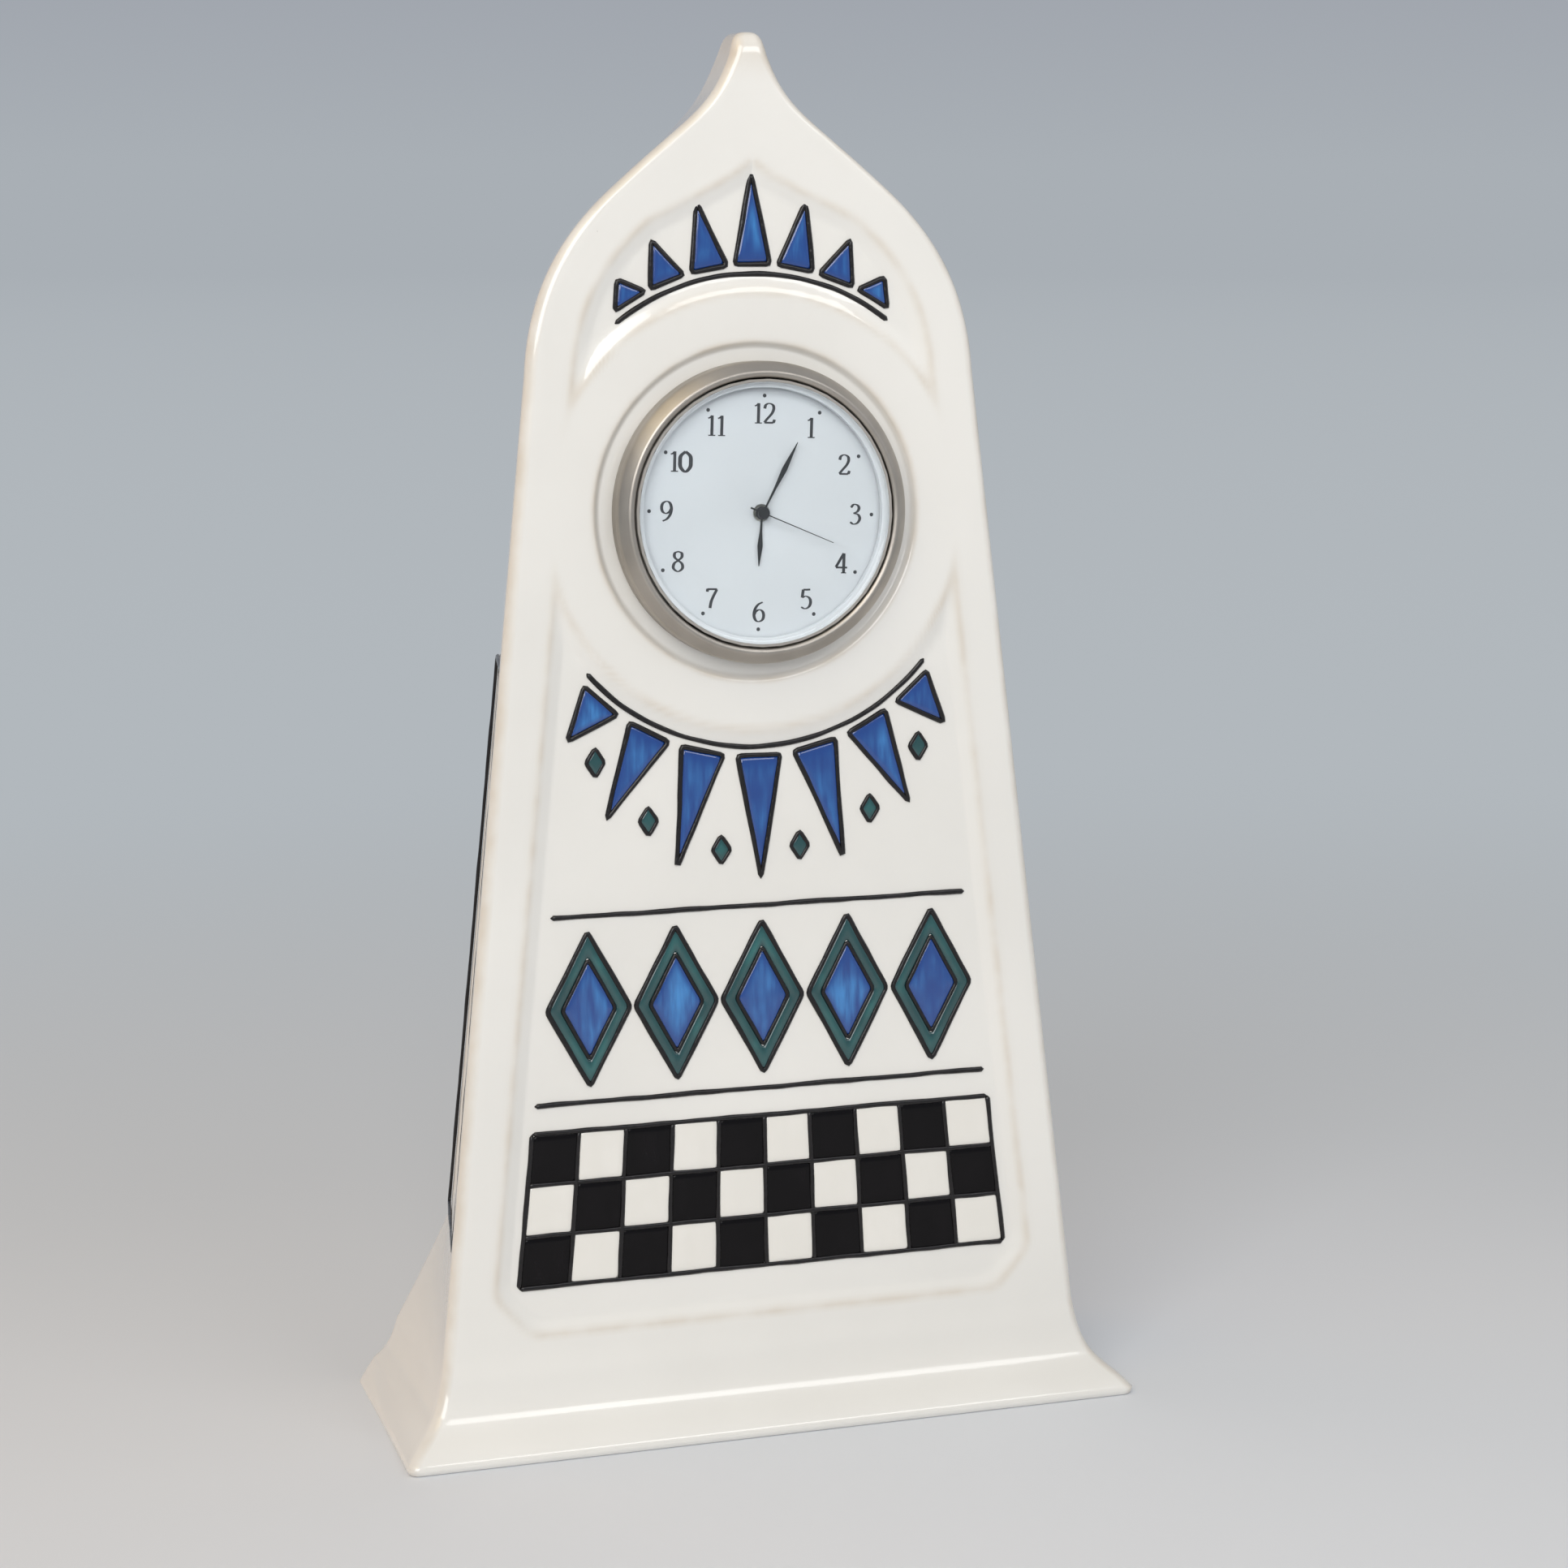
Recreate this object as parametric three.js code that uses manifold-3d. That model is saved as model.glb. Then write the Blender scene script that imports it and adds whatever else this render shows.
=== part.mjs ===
// Pottery mantel clock: a slip-cast, glazed case with a push-in quartz clock insert.
// Millimetres, +Z up, front facing -Y, origin under the middle of the foot.

import * as THREE from 'three';
import { mergeVertices } from 'three/addons/utils/BufferGeometryUtils.js';
import Module from 'manifold-3d';

const wasm = await Module();
wasm.setup();

const radians = THREE.MathUtils.degToRad;

// Case: outside form. A DROP is measured down from the tip.
const HEIGHT = 220;
const FOOT_HALF_WIDTH = 60.9;
const FOOT_DEPTH = 46.6;
const FOOT_LIP = 1.2;
const COVE_HEIGHT = 15;
const SIDE_HALF_WIDTH = 54.85;
const SIDE_LEAN = 0.1092;
const SHOULDER_DROP = 52;
const OGEE_DROP = 23;
const OGEE_HALF_WIDTH = 21.5;
const TIP_DROP = 3.5;
const TIP_HALF_WIDTH = 3;
const CREST_HALF_WIDTH = 0.35;
const TIP_FRONT = 5.15;
const TIP_BACK = 7.3;
const FRONT_FLARE = 7.4;
const BACK_FLARE = 1.6;
const SIDE_DRAFT = 0.2;
const BACK_COVE_HEIGHT = 30;
const BACK_COVE_WIDTH = 12.6;
const BACK_COVE_BEND = 1.1;
const NARROWEST_BACK = 0.8;
const ARRIS_RADIUS = 1.7;

// Handles of the outline's curves: shares of each curve's width and rise, from its start and from its end.
const COVE_HANDLES = [0.474, 0.327, 0.217, 0.812];
const SHOULDER_HANDLES = [0.058, 0.49, 0.507, 0.222];
const OGEE_HANDLES = [0.653, 0.544, 0.179, 0.44];
const TIP_HANDLES = [0.2, 0.55, 0.75, 0];

// Case: hollow, base and sunk panels.
const WALL = 4.2;
const FLOOR = 5;
const HOLLOW_DROP = 21;
const FOOT_RIM = 6;
const RIM_HEIGHT = 1.6;
const VENT_RADIUS = 8;
const PANEL_DEPTH = 1;
const PANEL_BEVEL = 2.4;
const PANEL_MARGIN = 7.2;
const PANEL_BOTTOM = 18;
const PANEL_CHAMFER = 6.4;
const DIAL_SURROUND = 34.2;
const ARCH_DROP = 15.8;
const SIDE_PANEL_TOP = 122;
const SIDE_PANEL_BOTTOM = 33;
const SIDE_PANEL_MARGIN = 5;
const SIDE_PANEL_CHAMFER = 1.4;

// Insert: bezel, crystal, dial and cup, measured outwards from the case's front face.
const DIAL_DROP = 73.5;
const DIAL_TWIST = radians(-2.5);
const SEAT_DEPTH = 0.8;
const SEAT_RADIUS = 26;
const BEZEL_RADIUS = 23.5;
const BEZEL_PROUD = 4.8;
const BEZEL_EDGE = 2.9;
const BEZEL_ROUNDING = 0.5;
const CRYSTAL_RADIUS = 20.3;
const CRYSTAL_THICKNESS = 1;
const CRYSTAL_BEVEL = 0.15;
const CRYSTAL_SUNK = 0.2;
const GASKET_WIDTH = 0.4;
const SPACER_HEIGHT = 1.3;
const SPACER_WIDTH = 0.9;
const DIAL_THICKNESS = 0.4;
const DIAL_FOOT_DISTANCE = 14.7;
const DIAL_FOOT_ANGLES = [35, 215].map(radians);
const CUP_RADIUS = 18.6;
const CUP_WALL = 0.6;
const CUP_RIM = 0.4;
const CUP_LEDGE = 0.8;
const CUP_DEPTH = 10.2;
const GRIP_THICKNESS = 2.2;
const GRIP_HEIGHT = 2.8;
const GRIP_RIB = 0.5;
const GRIP_START = 1.3;
const COVER_THICKNESS = 0.8;
const COVER_MARGIN = 0.2;
const HATCH_MARGIN = 0.3;
const HATCH_SLOT = [6.8, 1.2, 0.35];
const BOSS_RADIUS = 1.3;
const REAR_SCREW_ANGLES = [35, 160, 275].map(radians);
const REAR_SCREW_REACH = 2.6;
const GAP = 0.3;
const FIT = 0.06;

// Movement: plates, pillars and screws.
const MOTION_ROOM = 2.4;
const PLATE_THICKNESS = 0.8;
const TRAIN_ROOM = 4.5;
const BRIDGE_THICKNESS = 0.6;
const BRIDGE_HALF_WIDTH = 1.6;
const PILLAR_RADIUS = 1;
const PILLAR_DISTANCES = [9.5, 7.4, 11.6];
const PILLAR_ANGLES = [5, -85, 182].map(radians);
const BRIDGE_SCREW_REACH = 2.4;
const SCREW_SHANK = 0.45;
const SCREW_HEAD = 1;
const SCREW_HEAD_HEIGHT = 0.6;
const SCREW_SLOT = 0.24;
const POST_RADIUS = 0.5;

// Movement: arbors and wheels.
const ARBOR_RADIUS = 0.2;
const ARBOR_END = 0.1;
const WHEEL_THICKNESS = 0.4;
const MOTION_WHEEL_THICKNESS = 0.6;
const MOTION_STEP = 0.25;
const LEVEL_STEP = 1;
const PINION_REACH = 0.65;
const MOTION_DISTANCE = 5.4;
const MINUTE_ANGLE = radians(-60);
const THIRD_MODULE = 0.145;
const SECOND_MODULE = 0.205;
const THIRD_ANGLE = radians(60);
const ROTOR_ANGLE = radians(200);
const CANNON_TEETH = 12;
const MINUTE_TEETH = 36;
const MINUTE_PINION_TEETH = 10;
const HOUR_TEETH = 40;
const CENTRE_TEETH = 64;
const THIRD_TEETH = 60;
const SECOND_TEETH = 40;
const INTERMEDIATE_TEETH = 36;
const PINION_TEETH = 8;
const ROTOR_PINION_TEETH = 6;
const CENTRE_TUBE = 0.5;
const TUBE_REACH = 0.5;
const CANNON_PIPE = 0.55;
const HOUR_PIPE = 0.82;
const PIPE_REACH = 0.1;
const STEM_RADIUS = 0.6;
const KNOB_RADIUS = 2.2;
const KNOB_HEIGHT = 1.5;
const KNOB_FLUTES = 12;
const KNOB_FLUTE_DEPTH = 0.25;

// Movement: motor, cell and circuit.
const MAGNET_RADIUS = 1.8;
const MAGNET_HEIGHT = 1.5;
const MAGNET_ROOM = 0.35;
const COIL_RADIUS = 1.65;
const COIL_LENGTH = 11;
const COIL_FLANGE = 0.6;
const COIL_SUNK = 0.15;
const COIL_DISTANCE = 12.5;
const COIL_ANGLE = radians(225);
const CORE_WIDTH = 1.6;
const CORE_THICKNESS = 0.6;
const CORE_REACH = 2.7;
const CORE_ROOM = 0.2;
const STATOR_THICKNESS = 0.8;
const STATOR_DROP = 1.9;
const STATOR_MARGIN = 2.7;
const STATOR_ARM = 2;
const BATTERY_RADIUS = 5.8;
const BATTERY_THICKNESS = 3.2;
const BATTERY_ANGLE = radians(122);
const BATTERY_DISTANCE = 11.2;
const BATTERY_STEP = 0.4;
const BATTERY_CAP_INSET = 1.4;
const CONTACT_THICKNESS = 0.2;
const CONTACT_RADIUS = 1.5;
const CONTACT_STRIP = 1;
const CONTACT_TRACK = 13.7;
const CONTACT_TURN = radians(80);
const CLIP_SPREAD = 0.5;
const CLIP_ROOM = 0.1;
const BOARD_INNER = 8;
const BOARD_OUTER = 15.3;
const BOARD_START = radians(-70);
const BOARD_END = radians(-22);
const CHIP_SIZE = 3.2;
const CHIP_HEIGHT = 0.9;
const CHIP_DISTANCE = 11.6;
const CHIP_ANGLE = radians(-33);
const CAN_RADIUS = 0.9;
const CAN_LENGTH = 5;
const CAN_DISTANCE = 13.2;
const CAN_ANGLE = radians(-50);

// Hands, at the time that the dial shows: 6:04 and 18 seconds.
// A hand's shape is given as half widths and distances, in shares of its width and its length.
const HOUR_HAND_LENGTH = 8.3;
const MINUTE_HAND_LENGTH = 12.3;
const SECOND_HAND_LENGTH = 12.4;
const SECOND_HAND_TAIL = 2.3;
const HAND_WIDTH = 0.85;
const HAND_SHAPE = [[0.15, 0.06], [0.22, 0.35], [0.5, 0.62], [0.05, 1]];
const SECOND_HAND_WIDTH = 0.18;
const HAND_THICKNESS = 0.14;
const HAND_STEP = 0.45;
const HUB_RADIUS = 1.05;
const SECOND_HUB_RADIUS = 0.95;
const SHOWN_SECONDS = 18.5;
const SHOWN_MINUTES = 4 + SHOWN_SECONDS / 60;
const SHOWN_HOURS = 6 + SHOWN_MINUTES / 60;

// Facets: segments of a full circle, and points along the case's arrises and panels.
const TURN = 2 * Math.PI;
const FINE_STEPS = 48;
const ROUND_STEPS = 40;
const CELL_STEPS = 28;
const BOSS_STEPS = 16;
const HOLE_STEPS = 12;
const ARC_STEPS = 4;
const ARCH_STEPS = 9;
const ARCH_SIDE_POINTS = 16;
const LOWER_ARC_STEPS = 12;
const TRACE_STEPS = 60;
const OVERCUT = 1;

// Stack of the insert, from the bezel's lip inwards.
const crystalTop = BEZEL_PROUD - CRYSTAL_SUNK;
const crystalBottom = crystalTop - CRYSTAL_THICKNESS;
const spacerTop = crystalBottom - GAP;
const dialTop = spacerTop - SPACER_HEIGHT - GAP;
const dialBottom = dialTop - DIAL_THICKNESS;
const rimTop = dialBottom - GAP;
const rimBottom = rimTop - CUP_RIM;
const flangeTop = rimBottom - GAP;
const bezelBottom = GAP - SEAT_DEPTH;
const bezelBore = CRYSTAL_RADIUS + GASKET_WIDTH + 2 * FIT;
const gripRadius = CUP_RADIUS + GRIP_THICKNESS;
const holeRadius = gripRadius + GAP;
const cupBore = CUP_RADIUS - CUP_WALL;
const plateRadius = cupBore - GAP;
const plateTop = dialBottom - MOTION_ROOM;
const plateBottom = plateTop - PLATE_THICKNESS;
const ledgeTop = plateBottom - GAP;
const bridgeTop = plateBottom - TRAIN_ROOM;
const bridgeBottom = bridgeTop - BRIDGE_THICKNESS;
const coverTop = -CUP_DEPTH - GAP;
const coverBottom = coverTop - COVER_THICKNESS;
const rearScrewDistance = cupBore - SCREW_HEAD - 2 * GAP;
const hatchRadius = BATTERY_RADIUS + HATCH_MARGIN;
const batteryLow = coverTop + GAP;
const batteryTop = batteryLow + BATTERY_THICKNESS;

const polar = (radius, angle) => [radius * Math.cos(angle), radius * Math.sin(angle)];

// Arbors of the train and of the motion work, about the dial's centre.
const motionModule = (2 * MOTION_DISTANCE) / (CANNON_TEETH + MINUTE_TEETH);
const hourModule = (2 * MOTION_DISTANCE) / (MINUTE_PINION_TEETH + HOUR_TEETH);
const thirdDistance = (THIRD_MODULE * (THIRD_TEETH + PINION_TEETH)) / 2;
const centreModule = (2 * thirdDistance) / (CENTRE_TEETH + PINION_TEETH);
const intermediateDistance = (SECOND_MODULE * (SECOND_TEETH + PINION_TEETH)) / 2;
const rotorReach = (SECOND_MODULE * (INTERMEDIATE_TEETH + ROTOR_PINION_TEETH)) / 2;
const centreAt = [0, 0];
const minuteAt = polar(MOTION_DISTANCE, MINUTE_ANGLE);
const stemAt = polar(2 * MOTION_DISTANCE, MINUTE_ANGLE);
const thirdAt = polar(thirdDistance, THIRD_ANGLE);
const intermediateAt = polar(intermediateDistance, ROTOR_ANGLE);
const rotorAt = polar(intermediateDistance + rotorReach, ROTOR_ANGLE);
const batteryAt = polar(BATTERY_DISTANCE, BATTERY_ANGLE);
const pillarsAt = PILLAR_ANGLES.map((angle, i) => polar(PILLAR_DISTANCES[i], angle));
const dialFeetAt = DIAL_FOOT_ANGLES.map((angle) => polar(DIAL_FOOT_DISTANCE, angle));
const rearScrewsAt = REAR_SCREW_ANGLES.map((angle) => polar(rearScrewDistance, angle));

// Levels of the train, downwards from the main plate, and of the hands, upwards from the dial.
const centreLevel = plateBottom - GAP;
const thirdLevel = centreLevel - LEVEL_STEP;
const secondLevel = thirdLevel - LEVEL_STEP;
const intermediateLevel = secondLevel - LEVEL_STEP;
const statorTop = plateBottom - STATOR_DROP;
const hourHandLow = dialTop + GAP;
const minuteHandLow = hourHandLow + HAND_STEP;
const secondHandLow = minuteHandLow + HAND_STEP;

// Materials, from the photograph's colours.
const finish = (color, roughness, metalness) =>
  new THREE.MeshStandardMaterial({ color, roughness, metalness });
const GLAZE = finish(0xebe8e1, 0.15, 0);
const SATIN_NICKEL = finish(0x96908a, 0.35, 1);
const GLASS = finish(0xffffff, 0.02, 0);
GLASS.transparent = true;
GLASS.opacity = 0.15;
const DIAL_WHITE = finish(0xdae0e8, 0.6, 0);
const BLACK_ENAMEL = finish(0x101012, 0.35, 0);
const BLACK_RUBBER = finish(0x1c1c1e, 0.85, 0);
const BRASS = finish(0xc8a04a, 0.3, 1);
const STEEL = finish(0xb4b6b8, 0.3, 1);
const DARK_PLASTIC = finish(0x2a2c30, 0.5, 0);
const WHEEL_PLASTIC = finish(0xf0efe8, 0.45, 0);
const COPPER = finish(0xb0622c, 0.35, 1);
const BOARD_GREEN = finish(0x1f5a38, 0.55, 0);
const MAGNET_GREY = finish(0x55565a, 0.5, 1);

// A closed solid from triangles in either winding, with its faces turned outwards.
function solidFrom(geometry) {
  const bare = new THREE.BufferGeometry();
  bare.setAttribute('position', geometry.getAttribute('position').clone());
  if (geometry.index) bare.setIndex(geometry.index.clone());
  const merged = mergeVertices(bare, 1e-4);
  const at = merged.getAttribute('position');
  const corners = merged.index.array;
  const kept = [];
  let volume = 0;
  const a = new THREE.Vector3();
  const b = new THREE.Vector3();
  const c = new THREE.Vector3();
  for (let i = 0; i < corners.length; i += 3) {
    const [p, q, r] = [corners[i], corners[i + 1], corners[i + 2]];
    if (p === q || q === r || r === p) continue;
    kept.push(p, q, r);
    a.fromBufferAttribute(at, p);
    b.fromBufferAttribute(at, q);
    c.fromBufferAttribute(at, r);
    volume += a.dot(b.cross(c));
  }
  if (volume < 0) kept.reverse();
  const vertProperties = Float32Array.from(at.array);
  const triVerts = Uint32Array.from(kept);
  return new wasm.Manifold(new wasm.Mesh({ numProp: 3, vertProperties, triVerts }));
}

// Each named piece is one mesh.
function piece(name, solid, material) {
  const { vertProperties, triVerts } = solid.getMesh();
  const geometry = new THREE.BufferGeometry();
  geometry.setAttribute('position', new THREE.BufferAttribute(Float32Array.from(vertProperties), 3));
  geometry.setIndex(new THREE.BufferAttribute(Uint32Array.from(triVerts), 1));
  geometry.computeVertexNormals();
  const mesh = new THREE.Mesh(geometry, material);
  mesh.name = name;
  return mesh;
}

const unite = (...solids) => solids.reduce((whole, solid) => whole.add(solid));

// A turned piece: a closed profile of [radius, height] points about the Z axis.
function turned(profile, segments) {
  const points = profile.map(([r, z]) => new THREE.Vector2(r, z));
  const onAxis = profile[0][0] === 0 && profile.at(-1)[0] === 0;
  if (!onAxis) points.push(points[0].clone());
  return solidFrom(new THREE.LatheGeometry(points, segments).rotateX(Math.PI / 2));
}

const disc = (radius, low, high, segments, [x, y] = centreAt) =>
  turned([[0, low], [radius, low], [radius, high], [0, high]], segments).translate([x, y, 0]);

const ring = (inner, outer, low, high, segments) =>
  turned([[inner, low], [outer, low], [outer, high], [inner, high]], segments);

const arc = (radius, from, to, steps) =>
  Array.from({ length: steps + 1 }, (_, i) => polar(radius, from + ((to - from) * i) / steps));

// A flat piece: an outline of points, with round holes, between two heights.
function plate(points, low, high, holes = []) {
  const shape = new THREE.Shape(points.map(([x, y]) => new THREE.Vector2(x, y)));
  shape.holes = holes.map(([x, y, r]) => new THREE.Path(arc(r, 0, TURN, HOLE_STEPS).slice(0, -1)
    .map(([dx, dy]) => new THREE.Vector2(x + dx, y + dy))));
  const geometry = new THREE.ExtrudeGeometry(shape, { depth: high - low, bevelEnabled: false });
  return solidFrom(geometry.translate(0, 0, low));
}

function box(width, depth, low, high) {
  const [x, y] = [width / 2, depth / 2];
  return plate([[-x, -y], [x, -y], [x, y], [-x, y]], low, high);
}

// A flat bar with round ends from one place to another.
function strap([x0, y0], [x1, y1], halfWidth, low, high) {
  const along = Math.atan2(y1 - y0, x1 - x0);
  const cap = ([x, y], start) => arc(halfWidth, start, start + Math.PI, HOLE_STEPS / 2)
    .map(([dx, dy]) => [x + dx, y + dy]);
  return plate([...cap([x1, y1], along - Math.PI / 2), ...cap([x0, y0], along + Math.PI / 2)], low, high);
}

// A flat piece between two radii and two angles.
const sector = (inner, outer, from, to, low, high, holes = []) =>
  plate([...arc(outer, from, to, HOLE_STEPS), ...arc(inner, to, from, HOLE_STEPS)], low, high, holes);

// A closed skin over rings that all have the same number of points.
function loft(levels) {
  const flat = (ring) => ring.map((p) => new THREE.Vector2(p.x, p.y));
  const turnedBack = THREE.ShapeUtils.isClockWise(flat(levels[0]));
  const rings = turnedBack ? levels.map((ring) => [...ring].reverse()) : levels;
  const count = rings[0].length;
  const top = (rings.length - 1) * count;
  const index = [];
  for (let start = 0; start < top; start += count) {
    for (let i = 0; i < count; i++) {
      const a = start + i;
      const b = start + ((i + 1) % count);
      index.push(a, b, b + count, a, b + count, a + count);
    }
  }
  const cap = (ring) => THREE.ShapeUtils.triangulateShape(flat(ring), []);
  for (const [a, b, c] of cap(rings[0])) index.push(c, b, a);
  for (const [a, b, c] of cap(rings.at(-1))) index.push(top + a, top + b, top + c);
  const geometry = new THREE.BufferGeometry();
  const places = rings.flat().flatMap((p) => [p.x, p.y, p.z]);
  geometry.setAttribute('position', new THREE.Float32BufferAttribute(places, 3));
  geometry.setIndex(index);
  return solidFrom(geometry);
}

// Case: the straight side, and the front and back faces, at a height above the table.
const frontLean = (FOOT_DEPTH / 2 - FRONT_FLARE - TIP_FRONT) / HEIGHT;
const backLean = (FOOT_DEPTH / 2 - BACK_FLARE - TIP_BACK) / HEIGHT;
const sideAt = (z) => SIDE_HALF_WIDTH - SIDE_LEAN * z;
const frontPlane = (z) => TIP_FRONT + frontLean * (HEIGHT - z);
const backPlane = (z) => TIP_BACK + backLean * (HEIGHT - z);
const shoulderHeight = HEIGHT - SHOULDER_DROP;
const ogeeHeight = HEIGHT - OGEE_DROP;
const dialHeight = HEIGHT - DIAL_DROP;
const archTop = HEIGHT - ARCH_DROP;

// A curve between two points, with its handles given as shares of the width and the rise between them.
function bow([x0, z0], [x1, z1], [startWide, startHigh, endWide, endHigh]) {
  const [dx, dz] = [x1 - x0, z1 - z0];
  return new THREE.CubicBezierCurve(
    new THREE.Vector2(x0, z0),
    new THREE.Vector2(x0 + startWide * dx, z0 + startHigh * dz),
    new THREE.Vector2(x1 - endWide * dx, z1 - endHigh * dz),
    new THREE.Vector2(x1, z1),
  );
}

// Half of the front outline from the foot to the tip, as its curves and the steps that each is drawn in.
const lipFoot = [FOOT_HALF_WIDTH, FOOT_LIP];
const coveTop = [sideAt(COVE_HEIGHT), COVE_HEIGHT];
const backCoveTop = [sideAt(BACK_COVE_HEIGHT), BACK_COVE_HEIGHT];
const shoulderFoot = [sideAt(shoulderHeight), shoulderHeight];
const ogeeFoot = [OGEE_HALF_WIDTH, ogeeHeight];
const tipFoot = [TIP_HALF_WIDTH, HEIGHT - TIP_DROP];
const crest = [CREST_HALF_WIDTH, HEIGHT];
const lipCurve = new THREE.QuadraticBezierCurve(new THREE.Vector2(FOOT_HALF_WIDTH - FOOT_LIP / 2, 0),
  new THREE.Vector2(FOOT_HALF_WIDTH, 0), new THREE.Vector2(...lipFoot));
const lowSideCurve = new THREE.LineCurve(new THREE.Vector2(...coveTop), new THREE.Vector2(...backCoveTop));
const sideCurve = new THREE.LineCurve(new THREE.Vector2(...backCoveTop), new THREE.Vector2(...shoulderFoot));
const shoulderCurve = bow(shoulderFoot, ogeeFoot, SHOULDER_HANDLES);
const ogeeCurve = bow(ogeeFoot, tipFoot, OGEE_HANDLES);
const coveCurve = bow(lipFoot, coveTop, COVE_HANDLES);
const tipCurve = bow(tipFoot, crest, TIP_HANDLES);
const runs = [[lipCurve, 2], [coveCurve, 6], [lowSideCurve, 3], [sideCurve, 3], [shoulderCurve, 8],
  [ogeeCurve, 7], [tipCurve, 4]];
const outline = runs.flatMap(([curve, steps]) => curve.getPoints(steps).slice(0, -1));
outline.push(new THREE.Vector2(...crest));

function halfWidthAt(z) {
  const above = outline.findIndex((p) => p.y > z);
  const [low, high] = [outline[above - 1], outline[above]];
  return low.x + ((high.x - low.x) * (z - low.y)) / (high.y - low.y);
}

// How far the foot's cove spreads past the straight side: nothing above the cove.
const coveSpread = (halfWidth, z) => (z < COVE_HEIGHT ? Math.max(0, halfWidth - sideAt(z)) : 0);

// How much narrower each side is at the back than at the front. The sides draw in by a share of the depth,
// and a taller cove at the back brings them out again down to the foot.
function sideDraft(halfWidth, z) {
  const fall = Math.max(0, 1 - z / BACK_COVE_HEIGHT) ** BACK_COVE_BEND;
  const straight = SIDE_DRAFT * (frontPlane(z) + backPlane(z));
  return Math.max(0, straight + coveSpread(halfWidth, z) - BACK_COVE_WIDTH * fall);
}

// One level of the case: a tapered four-sided ring with rounded arrises, inset by a wall.
// The foot's flare goes with the cove's spread, and the arrises shrink with a narrow ring.
function caseRing(halfWidth, z, inset, height = z) {
  const flare = coveSpread(halfWidth, z) / (FOOT_HALF_WIDTH - sideAt(0));
  const front = frontPlane(z) + flare * (FOOT_DEPTH / 2 - frontPlane(0));
  const back = backPlane(z) + flare * (FOOT_DEPTH / 2 - backPlane(0));
  const wide = halfWidth - inset;
  const narrow = Math.max(NARROWEST_BACK * wide, wide - sideDraft(halfWidth, z));
  const [y0, y1] = [inset - front, back - inset];
  const r = Math.min(Math.max(ARRIS_RADIUS - inset / 2, 0.5), 0.8 * narrow, 0.4 * (y1 - y0));
  const centres = [[wide - r, y0 + r], [narrow - r, y1 - r], [r - narrow, y1 - r], [r - wide, y0 + r]];
  return centres.flatMap(([x, y], i) => arc(r, radians(90 * (i - 1)), radians(90 * i), ARC_STEPS)
    .map(([dx, dy]) => new THREE.Vector3(x + dx, y + dy, height)));
}

// The dial's frame: its centre lies on the front face, z points out of the face and y up it.
const faceTilt = Math.atan(frontLean);
function onFace(object) {
  object.position.set(0, -frontPlane(dialHeight), dialHeight);
  object.rotation.x = Math.PI / 2 - faceTilt;
  object.updateMatrixWorld();
  return object;
}

const faceMatrix = Array.from(onFace(new THREE.Group()).matrixWorld.elements);
const upFace = (z) => (z - dialHeight) / Math.cos(faceTilt);

// The part of a run that passes a test, from the place between two points where it first does.
function cutRun(points, inside) {
  const first = points.findIndex(inside);
  const run = points.slice(first);
  if (first > 0) {
    let [low, high] = [points[first - 1], points[first]];
    for (let i = 0; i < 20; i++) {
      const middle = low.clone().lerp(high, 0.5);
      if (inside(middle)) high = middle;
      else low = middle;
    }
    run.unshift(high);
  }
  return run;
}

// The same number of points, evenly along a run.
function evenly(points, count) {
  const lengths = [0];
  for (let i = 1; i < points.length; i++) lengths.push(lengths[i - 1] + points[i].distanceTo(points[i - 1]));
  const total = lengths.at(-1);
  return Array.from({ length: count }, (_, k) => {
    const target = (total * k) / (count - 1);
    let i = 1;
    while (i < points.length - 1 && lengths[i] < target) i++;
    const share = (target - lengths[i - 1]) / (lengths[i] - lengths[i - 1] || 1);
    return points[i - 1].clone().lerp(points[i], share);
  });
}

const mirrored = (half) =>
  [...half, ...half.slice(1, -1).reverse().map((p) => new THREE.Vector2(-p.x, p.y))];

// The dial's surround, as an arc about the dial from the middle line to a panel's corner.
const surroundArc = (radius, corner, way, steps) => Array.from({ length: steps }, (_, i) => {
  const angle = (Math.atan2(corner.x, way * corner.y) * i) / steps;
  return new THREE.Vector2(radius * Math.sin(angle), way * radius * Math.cos(angle));
});

// The arched panel over the dial: the ogee moved in by a margin, above a circle about the dial.
// Towards the tip, the move turns from square to the edge into straight down.
function archOutline(inset) {
  const margin = PANEL_MARGIN + inset;
  const drop = ARCH_DROP + inset;
  const radius = DIAL_SURROUND + inset;
  const traced = [sideCurve, shoulderCurve, ogeeCurve];
  const ogee = traced.flatMap((curve) => Array.from({ length: TRACE_STEPS / 2 }, (_, i) => {
    const share = (2 * i) / (TRACE_STEPS - 2);
    const point = curve.getPoint(share);
    const along = curve.getTangent(share);
    const rise = Math.max(0, (point.y - ogeeHeight) / OGEE_DROP);
    const x = point.x - margin * along.y * (1 - rise / 3);
    return new THREE.Vector2(x, upFace(point.y + margin * along.x * (1 - rise) - rise * drop));
  }));
  const above = cutRun(ogee, (p) => p.y > 0 && p.length() > radius);
  const side = evenly(cutRun(above.reverse(), (p) => p.x > 0).reverse(), ARCH_SIDE_POINTS);
  side[side.length - 1] = new THREE.Vector2(0, upFace(archTop - 1.6 * inset));
  return mirrored([...surroundArc(radius, side[0], 1, ARCH_STEPS), ...side]);
}

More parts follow.
